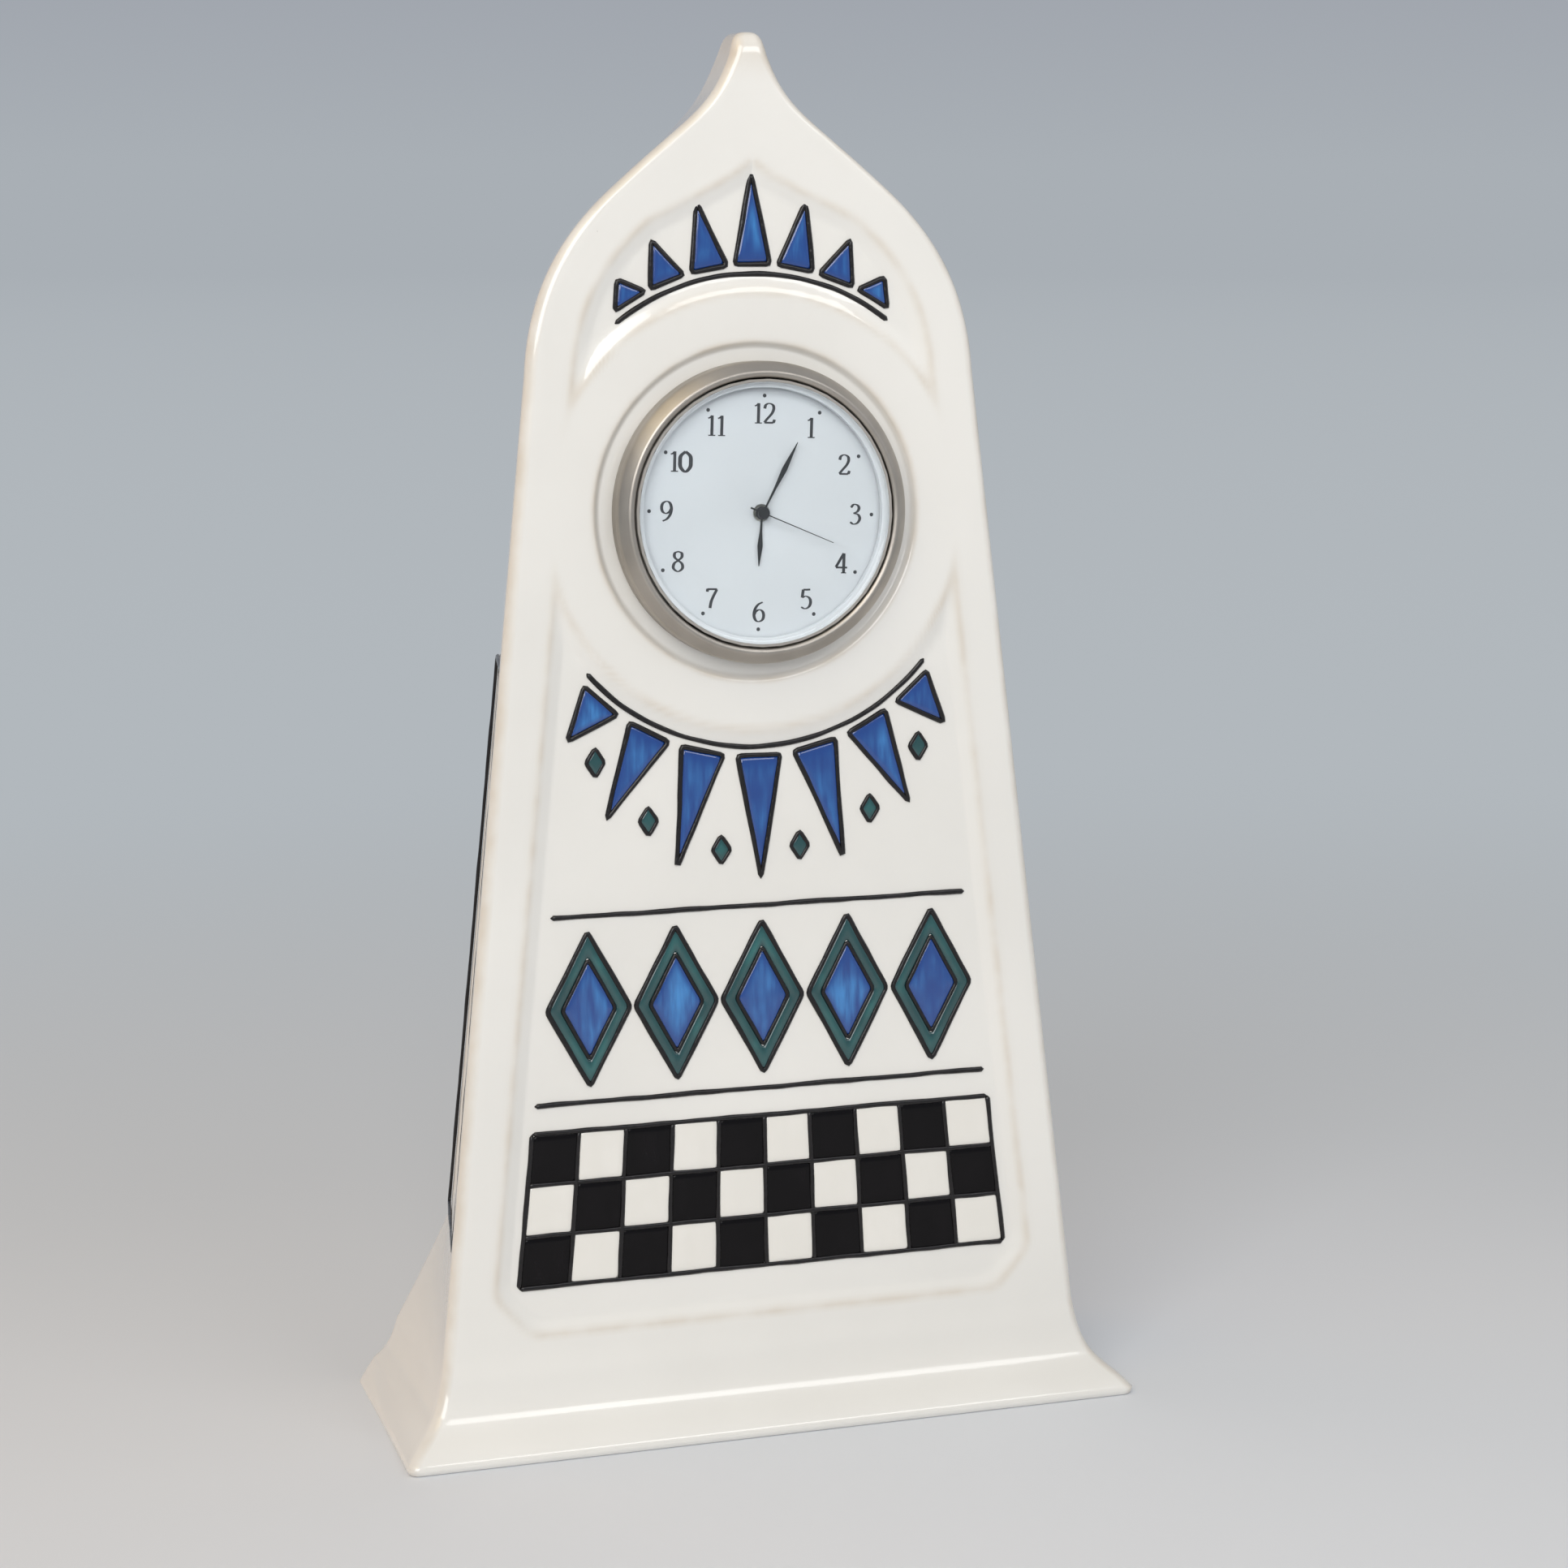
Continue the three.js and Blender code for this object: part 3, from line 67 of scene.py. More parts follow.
BACK_COVE_BEND = 1.1
NARROWEST_BACK = 0.8
ARRIS_RADIUS = 1.7
CREST_ROUNDING = 2.2
CREST_BACK_HEIGHT = 10
CREST_BACK_ROUNDING = 5
COVE_HANDLES = (0.474, 0.327, 0.217, 0.812)
SHOULDER_HANDLES = (0.058, 0.49, 0.507, 0.222)
OGEE_HANDLES = (0.653, 0.544, 0.179, 0.44)
TIP_HANDLES = (0.2, 0.55, 0.75, 0)

# Case, hollow, base and sunk panels.
WALL = 4.2
FLOOR = 5
HOLLOW_TOP = HEIGHT - 21
FOOT_RIM = 6
RIM_HEIGHT = 1.6
VENT_RADIUS = 8
VENT_LIP = 1.5
EDGE_ROUNDING = 0.5
PANEL_DEPTH = 1
PANEL_BEVEL = 2.4
PANEL_SOFTNESS = 1.6
BEVEL_SOFTNESS = 0.14
ARCH_FOOT = 140
PANEL_MARGIN = 7.2
PANEL_BOTTOM = 18
PANEL_CHAMFER = 6.4
ARCH_TOP = HEIGHT - 15.8
DIAL_SURROUND = 34.2
SIDE_PANEL_TOP = 122
SIDE_PANEL_BOTTOM = 33
SIDE_PANEL_MARGIN = 5

# Insert, measured outwards from the case's front face.
DIAL_HEIGHT = HEIGHT - 73.5
DIAL_TWIST = math.radians(-2.5)
SEAT_RADIUS = 26
SEAT_DEPTH = 0.8
SEAT_BEVEL = 1.3
HOLE_RADIUS = 21.1
BEZEL_RADIUS = 23.5
BEZEL_LOW = -0.5
BEZEL_EDGE = 2.9
BEZEL_PROUD = 4.8
BEZEL_BORE = 20.82
BEZEL_FLANGE = 18.66
FLANGE_TOP = 0.3
CRYSTAL_RADIUS = 20.3
CRYSTAL_LOW = 3.6
CRYSTAL_HIGH = 4.6
SPACER_INNER = 19.4
SPACER_OUTER = 20.36
SPACER_LOW = 2.0
SPACER_HIGH = 3.3
DIAL_LOW = 1.3
DIAL_HIGH = 1.7
DIAL_BORE = 1.35
DIAL_RADIUS = 20

# Grid of the case: cells along the front, one arris, one side and the back; the columns next to the front's
# edges; the block of cells that gives way to rings round the dial; and those rings, first at even shares of the
# way in to the mouth's reach, and then at radii of their own.
FRONT_CELLS, ARRIS_CELLS, SIDE_CELLS, BACK_CELLS = 160, 8, 32, 20
EDGE_COLUMNS = (0, 1.3, 2.6, 3.8, 4.6, 5.0, 5.3, 5.5, 5.7, 6.0, 6.5, 7.1, 7.5, 7.7, 7.9, 8.1, 8.4, 9.0, 9.7, 10.5)
BLOCK_LOW, BLOCK_HIGH, BLOCK_MARGIN = 116.5, 176.5, 16
MOUTH_SHARES = 17
MOUTH_REACH = 27.2
SEAT_RINGS = (27.2, 26.95, 26.7, 26.5, 26.3, 26.1, 25.9, 25.7, 25.5, 25.3, 25.1, 24.8, 24, 23, 22.2, 21.8, 21.6)

# The arched panel is worked out above one height over the dial's centre and the lower panel below another, and
# a place that is in neither counts as far from both.
ARCH_FROM, LOWER_TO, CLEAR_OF_PANELS = 8, 0, 99.0

# How thin the glaze runs, from 0 to 1, and how wide the thin line is. The darker line along the panels' edges and
# just outside the seat is partly glaze break and partly painted shade that marks the relief.
PANEL_THIN_AND_SHADE, PANEL_LINE = 0.6, 0.65
SEAT_THIN_AND_SHADE, SEAT_LINE, SEAT_LINE_OUT = 0.65, 0.5, 0.4
THIN_AT_ARRIS = 0.6
THIN_AT_TIP, THIN_FROM, THIN_REACH = 0.7, 212, 8


def side_at(z):
    """Half width of the straight side at a height."""
    return SIDE_HALF_WIDTH - SIDE_LEAN * z


def front_plane(z):
    """Distance of the front face before the origin: a line from the tip's down to the foot's less its flare."""
    return TIP_FRONT + (FOOT_DEPTH / 2 - FRONT_FLARE - TIP_FRONT) / HEIGHT * (HEIGHT - z)


def back_plane(z):
    """Distance of the back face behind the origin, found as the front's is."""
    return TIP_BACK + (FOOT_DEPTH / 2 - BACK_FLARE - TIP_BACK) / HEIGHT * (HEIGHT - z)


def bow(start, end, handles, steps):
    """Cubic curve through two points, with its two handles at shares of the width and rise between them."""
    start, end = np.array(start, float), np.array(end, float)
    rise = end - start
    first = start + np.array(handles[:2]) * rise
    last = end - np.array(handles[2:]) * rise
    t = np.linspace(0, 1, steps + 1)[:, None]
    return (1 - t) ** 3 * start + 3 * t * (1 - t) ** 2 * first + 3 * t * t * (1 - t) * last + t**3 * end


def smooth_step(t):
    """Rises from 0 to 1 with level ends, and stays there."""
    t = np.clip(t, 0, 1)
    return t * t * (3 - 2 * t)


def chamfer(t, soft):
    """Rises straight from 0 to 1: the integral of a slope that comes and goes over a share of the way at each
    end."""
    def run(u):
        return np.clip(u + soft, 0, 2 * soft) ** 2 / (4 * soft) + np.clip(u - soft, 0, None)
    return run(t) - run(t - 1)


def soft_max(a, b, reach):
    """The larger of two distances, rounded off where they are within reach of each other."""
    near = np.clip(1 - np.abs(a - b) / reach, 0, None)
    return np.maximum(a, b) + near * near * reach / 4


def spaced(stops):
    """Heights from pairs of (height, step): each step holds from its height up to the next."""
    runs = [np.arange(low, high - step / 3, step) for (low, step), (high, _) in zip(stops, stops[1:])]
    return np.concatenate(runs + [[stops[-1][0]]])


cove_top = (side_at(COVE_HEIGHT), COVE_HEIGHT)
shoulder_foot = (side_at(SHOULDER_HEIGHT), SHOULDER_HEIGHT)
ogee_foot = (OGEE_HALF_WIDTH, OGEE_HEIGHT)
tip_foot = (TIP_HALF_WIDTH, TIP_HEIGHT)
side_heights = spaced([(COVE_HEIGHT, 0.6), (35, 2.5), (100, 0.86), (SHOULDER_HEIGHT, 0.86)])
side_run = np.stack([side_at(side_heights), side_heights], 1)
shoulder_run = bow(shoulder_foot, ogee_foot, SHOULDER_HANDLES, 40)
ogee_run = bow(ogee_foot, tip_foot, OGEE_HANDLES, 34)
lip_run = bow((FOOT_HALF_WIDTH - FOOT_LIP / 2, 0), (FOOT_HALF_WIDTH, FOOT_LIP), (0.67, 0, 0, 0.67), 5)
LEVELS = np.concatenate([
    lip_run[:-1],
    bow((FOOT_HALF_WIDTH, FOOT_LIP), cove_top, COVE_HANDLES, 24)[:-1],
    side_run[:-1],
    shoulder_run[:-1],
    ogee_run[:-1],
    bow(tip_foot, (CREST_HALF_WIDTH, HEIGHT), TIP_HANDLES, 14),
])


def case_rings(levels, inset, cells):
    """The case's rings as (levels, columns, 3): flat front and back, and sides that draw in towards the back,
    joined by arris arcs that meet the sides without a corner. Columns run along the front to the right and on
    round the case. The first and last of the front's keep their distance from the sides, as a panel's edge does.
    The foot's flare grows with the cove's width, a taller cove brings the sides out again at the back, and the
    crest rounds in from front and back."""
    half, z = levels.T
    spread = np.where(z < COVE_HEIGHT, half - side_at(z), 0).clip(0)
    flare = spread / (FOOT_HALF_WIDTH - side_at(0))
    front = front_plane(z) + flare * FRONT_FLARE
    back = back_plane(z) + flare * BACK_FLARE
    fall = (1 - z / BACK_COVE_HEIGHT).clip(0) ** BACK_COVE_BEND
    draft = (SIDE_DRAFT * (front_plane(z) + back_plane(z)) + spread - BACK_COVE_WIDTH * fall).clip(0)
    crown = ((z - TIP_HEIGHT) / (HEIGHT - TIP_HEIGHT)).clip(0, 1)
    drawn = inset + CREST_ROUNDING * (1 - np.sqrt(1 - crown**2))
    wide = half - inset
    narrow = np.maximum(NARROWEST_BACK * wide, wide - draft)
    fallen = ((z - HEIGHT + CREST_BACK_HEIGHT) / CREST_BACK_HEIGHT).clip(0, 1)
    low, high = drawn - front, back - inset - CREST_BACK_ROUNDING * (1 - np.sqrt(1 - fallen**2))
    r = np.full_like(z, max(ARRIS_RADIUS - inset / 2, EDGE_ROUNDING))
    r = np.minimum(np.minimum(r, 0.8 * narrow), 0.4 * (high - low))
    lean = np.arctan2(wide - narrow, high - low - 2 * r)
    n_front, n_arris, n_side, n_back = cells

    def line(x0, y0, x1, y1, count):
        share = np.arange(count) / count
        return np.stack([x0[:, None] + np.outer(x1 - x0, share), y0[:, None] + np.outer(y1 - y0, share)], 2)

    def front_line(half_line, y, count):
        near = np.array(EDGE_COLUMNS[::FRONT_CELLS // count])
        aside = np.outer(np.minimum(1, half_line / (1.6 * near[-1])), near) - half_line[:, None]
        middle = np.linspace(aside[:, -1], -aside[:, -1], count - 2 * len(near) + 3, axis=1)[:, 1:-1]
        x = np.concatenate([aside, middle, -aside[:, :0:-1]], 1)
        return np.stack([x, np.broadcast_to(y[:, None], x.shape)], 2)

    def arc(x, y, start, end, count):
        angle = start[:, None] + np.outer(end - start, np.arange(count) / count)
        return np.stack([x[:, None] + r[:, None] * np.cos(angle), y[:, None] + r[:, None] * np.sin(angle)], 2)

    quarter = np.full_like(z, math.pi / 2)
    fx, bx, fy, by = wide - r, narrow - r, low + r, high - r
    cos, sin = r * np.cos(lean), r * np.sin(lean)
    flat = np.concatenate([
        front_line(fx, low, n_front),
        arc(fx, fy, -quarter, lean, n_arris),
        line(fx + cos, fy + sin, bx + cos, by + sin, n_side),
        arc(bx, by, lean, quarter, n_arris),
        line(bx, high, -bx, high, n_back),
        arc(-bx, by, quarter, 2 * quarter - lean, n_arris),
        line(-bx - cos, by + sin, -fx - cos, fy + sin, n_side),
        arc(-fx, fy, 2 * quarter - lean, 3 * quarter, n_arris),
    ], 1)
    return np.concatenate([flat, np.broadcast_to(z[:, None, None], flat.shape[:2] + (1,))], 2)


class Face:
    """A flat working frame on the object: an origin, a direction across, one up, and one out of the surface."""

    def __init__(self, origin, across, up):
        self.origin = np.array(origin, float)
        self.across = np.array(across, float) / np.linalg.norm(across)
        out = np.cross(self.across, up)
        self.out = out / np.linalg.norm(out)
        self.up = np.cross(self.out, self.across)

    def local(self, points):
        """Places of points across, up and out of the face."""
        away = points - self.origin
        return away @ self.across, away @ self.up, away @ self.out

    def lay(self, across, up, out):
        """Points from their places across, up and out of the face."""
        across, up, out = (x[..., None] for x in np.broadcast_arrays(across, up, out))
        return self.origin + across * self.across + up * self.up + out * self.out

    def turned(self, angle):
        """The same frame, turned about its outward direction."""
        return Face(self.origin, math.cos(angle) * self.across + math.sin(angle) * self.up,
                    math.cos(angle) * self.up - math.sin(angle) * self.across)


face_lean = math.atan((front_plane(0) - front_plane(HEIGHT)) / HEIGHT)
front_face = Face((0, -front_plane(DIAL_HEIGHT), DIAL_HEIGHT), (1, 0, 0), (0, math.sin(face_lean), math.cos(face_lean)))
insert_face = front_face.turned(DIAL_TWIST)


def side_middle(sign, z):
    """Middle of a side face at a height."""
    front, back = front_plane(z), back_plane(z)
    return np.array([sign * (side_at(z) - SIDE_DRAFT * (front + back) / 2), (back - front) / 2, z])


def side_face(sign):
    """Frame of a side face, with its origin at the foot of the side panel: across runs to the right, seen from
    outside."""
    low = side_middle(sign, SIDE_PANEL_BOTTOM)
    return Face(low, (-SIDE_DRAFT, sign, 0), side_middle(sign, SIDE_PANEL_TOP) - low)


side_faces = {1: side_face(1), -1: side_face(-1)}


def side_panel_half(up):
    """Half width of the side panel, at a height above its foot."""
    z = SIDE_PANEL_BOTTOM + up
    return (front_plane(z) + back_plane(z)) / 2 - SIDE_PANEL_MARGIN


def arch_edge():
    """The arched panel's outer edge: the case's outline moved in by the margin, square to itself at the sides
    and straight down towards the tip."""
    run = np.concatenate([side_run[side_run[:, 1] > ARCH_FOOT], shoulder_run, ogee_run])
    along = np.gradient(run, axis=0)
    along /= np.linalg.norm(along, axis=1)[:, None]
    rise = ((run[:, 1] - OGEE_HEIGHT) / (HEIGHT - OGEE_HEIGHT)).clip(0)
    x = run[:, 0] - PANEL_MARGIN * along[:, 1] * (1 - rise / 3)
    z = run[:, 1] + PANEL_MARGIN * along[:, 0] * (1 - rise) - rise * (HEIGHT - ARCH_TOP)
    kept = x > 0.3
    x, z = np.append(x[kept], 0), np.append(z[kept], ARCH_TOP)
    return np.stack([x, (z - DIAL_HEIGHT) / math.cos(face_lean)], 1)


def run_distance(x, y, run):
    """Distance of points from a broken line: the least over its pieces of the distance to the nearest place."""
    best = np.full(x.shape, 1e9)
    for (ax, ay), (bx, by) in zip(run[:-1], run[1:]):
        dx, dy = bx - ax, by - ay
        share = (((x - ax) * dx + (y - ay) * dy) / (dx * dx + dy * dy + 1e-12)).clip(0, 1)
        best = np.minimum(best, np.hypot(x - ax - share * dx, y - ay - share * dy))
    return best


ARCH_EDGE = arch_edge()[::2]


def arch_depth(x, up):
    """Distance outside the arched panel, less than 0 inside it: outside the ogee, or inside the dial's surround."""
    inside = np.abs(x) < np.interp(up, ARCH_EDGE[:, 1], ARCH_EDGE[:, 0], right=-1)
    ogee = run_distance(np.abs(x), up, ARCH_EDGE) * np.where(inside, -1, 1)
    return soft_max(ogee, DIAL_SURROUND - np.hypot(x, up), PANEL_SOFTNESS)


def lower_depth(x, up):
    """Distance outside the panel under the dial: the largest of those to its sides, bottom, cut corners and the
    dial's surround."""
    z = DIAL_HEIGHT + up * math.cos(face_lean)
    beyond = np.abs(x) - side_at(z) + PANEL_MARGIN
    sides = soft_max(beyond, PANEL_BOTTOM - z, PANEL_SOFTNESS)
    corners = (beyond + PANEL_BOTTOM + PANEL_CHAMFER - z) / math.sqrt(2)
    return soft_max(soft_max(sides, corners, PANEL_SOFTNESS), DIAL_SURROUND - np.hypot(x, up), PANEL_SOFTNESS)


def side_depth(across, up):
    """Distance outside a side panel: the largest of those to its two sloping edges, its foot and its top."""
    ends = np.maximum(-up, up - (SIDE_PANEL_TOP - SIDE_PANEL_BOTTOM))
    return soft_max(np.abs(across) - side_panel_half(up), ends, 2 * PANEL_SOFTNESS)


def sunk(distance):
    """How deep the surface lies and how thin its glaze is, by the distance outside a panel: a straight bevel
    inwards with soft ends, and the glaze thinnest on its upper turn, where its darker line is partly glaze break and
    partly painted shade along the relief."""
    depth = PANEL_DEPTH * chamfer(-distance / PANEL_BEVEL, BEVEL_SOFTNESS)
    return depth, PANEL_THIN_AND_SHADE * np.exp(-((distance / PANEL_LINE) ** 2))


def front_relief(x, up):
    """Depth and thinness of the front face at a place: two panels, and the bezel's round seat. Their darker thin
    lines are partly glaze break and partly painted shade.
    """
    high = np.full(x.shape, CLEAR_OF_PANELS)
    low = high.copy()
    over, under = up > ARCH_FROM, up < LOWER_TO
    high[over] = arch_depth(x[over], up[over])
    low[under] = lower_depth(x[under], up[under])
    depth, thin = sunk(np.minimum(high, low))
    radius = np.hypot(x, up)
    seat = SEAT_DEPTH * smooth_step((SEAT_RADIUS + SEAT_BEVEL / 2 - radius) / SEAT_BEVEL)
    # A darker ring just outside the seat: partly glaze break, partly painted shade along the groove's edge.
    line = np.exp(-(((radius - SEAT_RADIUS - SEAT_LINE_OUT) / SEAT_LINE) ** 2))
    return depth + seat, thin + SEAT_THIN_AND_SHADE * line


def cells_between(rows, columns, closed=True):
    """Four-cornered faces of a grid whose points are numbered row by row, closed round its columns or not."""
    row = np.arange(rows - 1)[:, None] * columns
    column = np.arange(columns if closed else columns - 1)[None, :]
    after = (column + 1) % columns
    return np.stack([row + column, row + after, row + columns + after, row + columns + column], 2).reshape(-1, 4)


def fan(ring, centre):
    """Triangles from a closed ring of point numbers to one point."""
    ring = np.asarray(ring)
    return np.stack([ring, np.roll(ring, -1), np.full(len(ring), centre)], 1)


def halving(fine, coarse):
    """Triangles between a closed ring and one with half as many points."""
    a, b, c = fine[0::2], fine[1::2], np.roll(fine, -2)[0::2]
    p, q = np.asarray(coarse), np.roll(coarse, -1)
    return np.concatenate([np.stack(t, 1) for t in ((a, b, p), (b, q, p), (b, c, q))])


class Shape:
    """Points and faces gathered patch by patch, with a value for each point and a material number for each
    face."""

    def __init__(self):
        self.points, self.thin, self.faces, self.finish, self.count = [], [], [], [], 0

    def add(self, points, thin=0.0):
        """Adds points, and returns their numbers in the shape of the array that they came in."""
        flat = points.reshape(-1, 3)
        numbers = self.count + np.arange(len(flat)).reshape(points.shape[:-1])
        self.points.append(flat)
        self.thin.append(np.broadcast_to(thin, points.shape[:-1]).ravel())
        self.count += len(flat)
        return numbers

    def join(self, faces, finish=0):
        """Adds faces that share a material."""
        self.faces += np.asarray(faces).tolist()
        self.finish += [finish] * len(faces)

    def weave(self, numbers, finish=0, closed=True):
        """Adds the four-cornered faces between the rows of a grid of point numbers."""
        self.join(numbers.ravel()[cells_between(*numbers.shape, closed)], finish)

    def build(self, name, materials, body, slot=None, replaces=(), smooth=True, value_name="thin"):
        """Makes the Blender object: points to metres, doubles merged, faces turned outwards, and the piece set to
        ride on its body."""
        mesh = bpy.data.meshes.new(name)
        mesh.from_pydata((np.concatenate(self.points) * MM).tolist(), [], self.faces)
        mesh.attributes.new(value_name, "FLOAT", "POINT").data.foreach_set(
            "value", np.concatenate(self.thin).astype(np.float32))
        mesh.polygons.foreach_set("material_index", self.finish)
        work = bmesh.new()
        work.from_mesh(mesh)
        bmesh.ops.remove_doubles(work, verts=work.verts, dist=2e-6)
        bmesh.ops.recalc_face_normals(work, faces=work.faces)
        work.to_mesh(mesh)
        work.free()
        mesh.polygons.foreach_set("use_smooth", [smooth] * len(mesh.polygons))
        for material in materials:
            mesh.materials.append(material)
        piece = bpy.data.objects.new(name, mesh)
        bpy.context.scene.collection.objects.link(piece)
        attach(piece, body)
        if replaces:
            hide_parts(*replaces)
        return piece


# Materials.

def paint(code):
    """Linear colour, with alpha, from an sRGB hex value."""
    srgb = np.array([int(code[i:i + 2], 16) for i in (1, 3, 5)]) / 255
    linear = np.where(srgb <= 0.04045, srgb / 12.92, ((srgb + 0.055) / 1.055) ** 2.4)
    return (*linear.tolist(), 1.0)


def settle(tree, node, inputs):
    """Sets inputs of a node, by name or number, as values or links."""
    for key, value in inputs.items():
        if isinstance(value, bpy.types.NodeSocket):
            tree.links.new(value, node.inputs[key])
        else:
            node.inputs[key].default_value = value


def add(tree, kind, inputs=None, **settings):
    """Adds a shader node with its settings and inputs."""
    made = tree.nodes.new("ShaderNode" + kind)
    for key, value in settings.items():
        setattr(made, key, value)
    settle(tree, made, inputs or {})
    return made


def new_material(name):
    """A material with nodes, emptied, with its tree and a Principled shader joined to its output."""
    material = bpy.data.materials.new(name)
    material.use_nodes = True
    tree = material.node_tree
    tree.nodes.clear()
    shader = add(tree, "BsdfPrincipled")
    add(tree, "OutputMaterial", {"Surface": shader.outputs[0]})
    return material, tree, shader


def place(tree, size=(1, 1, 1), turn=(0, 0, 0), shift=(0, 0, 0)):
    """Object coordinates in units of a real size in millimetres along each direction."""
    here = add(tree, "TexCoord").outputs["Object"]
    turned = add(tree, "Mapping", {0: here, 1: shift, 2: turn})
    return add(tree, "Mapping", {0: turned.outputs[0], 3: tuple(1 / (s * MM) for s in size)}).outputs[0]


def grain(tree, where, detail=2.0, roughness=0.5, low=0.0, high=1.0):
    """Noise of one unit's size, drawn to a range."""
    noise = add(tree, "TexNoise", {"Vector": where, "Scale": 1.0, "Detail": detail, "Roughness": roughness})
    return add(tree, "MapRange", {0: noise.outputs[0], 1: 0.24, 2: 0.76, 3: low, 4: high},
               interpolation_type="SMOOTHSTEP").outputs[0]


def swell(tree, size, depth):
    """Normal of a slow rise and fall of one size and depth in millimetres."""
    noise = add(tree, "TexNoise", {"Vector": place(tree, (size, size, size)), "Scale": 1.0, "Detail": 0.0})
    return add(tree, "Bump", {"Height": noise.outputs[0], "Distance": depth * MM}).outputs[0]


def cream_glaze():
    """Clear-coated cream earthenware glaze, fired glossy over a pale slip-cast body. The eye sees a warm white
    with faint clouds, warmer and darker where the glaze ran thin over an edge, which along the panels and the seat
    is also painted shade marking the relief, and mirror-like but slightly uneven gloss."""
    material, tree, shader = new_material("cream_earthenware_glaze")
    cloud = grain(tree, place(tree, (38, 38, 38)), 3)
    body = add(tree, "Mix", {0: cloud, 6: paint("#f0eee9"), 7: paint("#eae8e3")}, data_type="RGBA")
    thin = add(tree, "Attribute", attribute_name="thin").outputs["Fac"]
    ragged = add(tree, "Math", {0: thin, 1: grain(tree, place(tree, (6, 6, 6)), 2, low=0.25, high=0.8)},
                 operation="MULTIPLY").outputs[0]
    # Tan where the glaze runs thin: glaze break on arrises and the tip, and glaze break with painted shade along the
    # panel and seat lines.
    thin_and_shaded_edge = add(tree, "Mix", {0: ragged, 6: body.outputs[2], 7: paint("#cfc0ab")}, data_type="RGBA")
    speck = add(tree, "TexVoronoi", {"Vector": place(tree, (19, 19, 19)), "Scale": 1.0}, feature="F1")
    dot = add(tree, "MapRange", {0: speck.outputs["Distance"], 1: 0.008, 2: 0.014, 3: 0.55, 4: 0.0}).outputs[0]
    specked = add(tree, "Mix", {0: dot, 6: thin_and_shaded_edge.outputs[2], 7: paint("#8d8274")}, data_type="RGBA")
    settle(tree, shader, {
        "Base Color": specked.outputs[2],
        "Roughness": grain(tree, place(tree, (24, 24, 24)), 1, low=0.18, high=0.25),
        "IOR": 1.5, "Coat Weight": 1.0, "Coat Roughness": 0.045, "Coat IOR": 1.5,
        "Normal": swell(tree, 9, 0.05),
        "Coat Normal": swell(tree, 13, 0.1),
    })
    return material


def bare_bisque():
    """Unglazed fired body on the foot rim and inside: matt, buff and finely gritty."""
    material, tree, shader = new_material("unglazed_bisque")
    grit = grain(tree, place(tree, (0.7, 0.7, 0.7)), 3)
    cloud = grain(tree, place(tree, (17, 17, 17)), 2)
    tone = add(tree, "Mix", {0: cloud, 6: paint("#e6dccb"), 7: paint("#d6c8b2")}, data_type="RGBA")
    gritty = add(tree, "Mix", {0: grit, 6: tone.outputs[2], 7: paint("#c9baa2")}, data_type="RGBA")
    settle(tree, shader, {
        "Base Color": gritty.outputs[2],
        "Roughness": 0.85, "IOR": 1.45,
        "Normal": add(tree, "Bump", {"Height": grit, "Distance": 0.04 * MM}).outputs[0],
    })
    return material


def pooled_glaze(name, deep, bright, stroke, streaks, share, gloss=1.0):
    """Coloured glaze laid by brush between slip lines, where it pools. The eye sees a wet gloss, a deeper tone
    against the lines, and lighter brush streaks in the middle of each cell."""
    material, tree, shader = new_material(name)
    rim = add(tree, "Attribute", attribute_name="rim").outputs["Fac"]
    brush = grain(tree, place(tree, stroke), 2, low=0.0, high=1.0)
    cloud = grain(tree, place(tree, (9, 9, 9), shift=(0.3, 0.1, 0.7)), 2)
    mixed = add(tree, "Math", {0: brush, 1: cloud}, operation="MULTIPLY").outputs[0]
    inner = add(tree, "MapRange", {0: rim, 1: 0.35, 2: 0.95, 3: share, 4: 0.0}).outputs[0]
    lit = add(tree, "Math", {0: mixed, 1: inner}, operation="MULTIPLY").outputs[0]
    tone = add(tree, "Mix", {0: lit, 6: paint(deep), 7: paint(bright)}, data_type="RGBA")
    settle(tree, shader, {
        "Base Color": tone.outputs[2],
        "Roughness": 0.18, "IOR": 1.5, "Specular IOR Level": 0.5 * gloss, "Coat Weight": gloss,
        "Coat Roughness": 0.03, "Coat IOR": 1.5,
        "Normal": add(tree, "Bump", {"Height": brush, "Distance": streaks * MM}).outputs[0],
        "Coat Normal": swell(tree, 6, 0.06),
    })
    return material


def black_slip():
    """Black slip piped through a fine nozzle and fired under clear glaze: a raised, slightly lumpy black line
    with small bright glints."""
    material, tree, shader = new_material("piped_black_slip")
    lump = grain(tree, place(tree, (0.9, 0.9, 0.9)), 2)
    tone = add(tree, "Mix", {0: lump, 6: paint("#0a0809"), 7: paint("#171315")}, data_type="RGBA")
    settle(tree, shader, {
        "Base Color": tone.outputs[2],
        "Roughness": 0.3, "IOR": 1.5, "Specular IOR Level": 0.25, "Coat Weight": 0.4, "Coat Roughness": 0.06,
        "Normal": add(tree, "Bump", {"Height": lump, "Distance": 0.08 * MM}).outputs[0],
    })
    return material


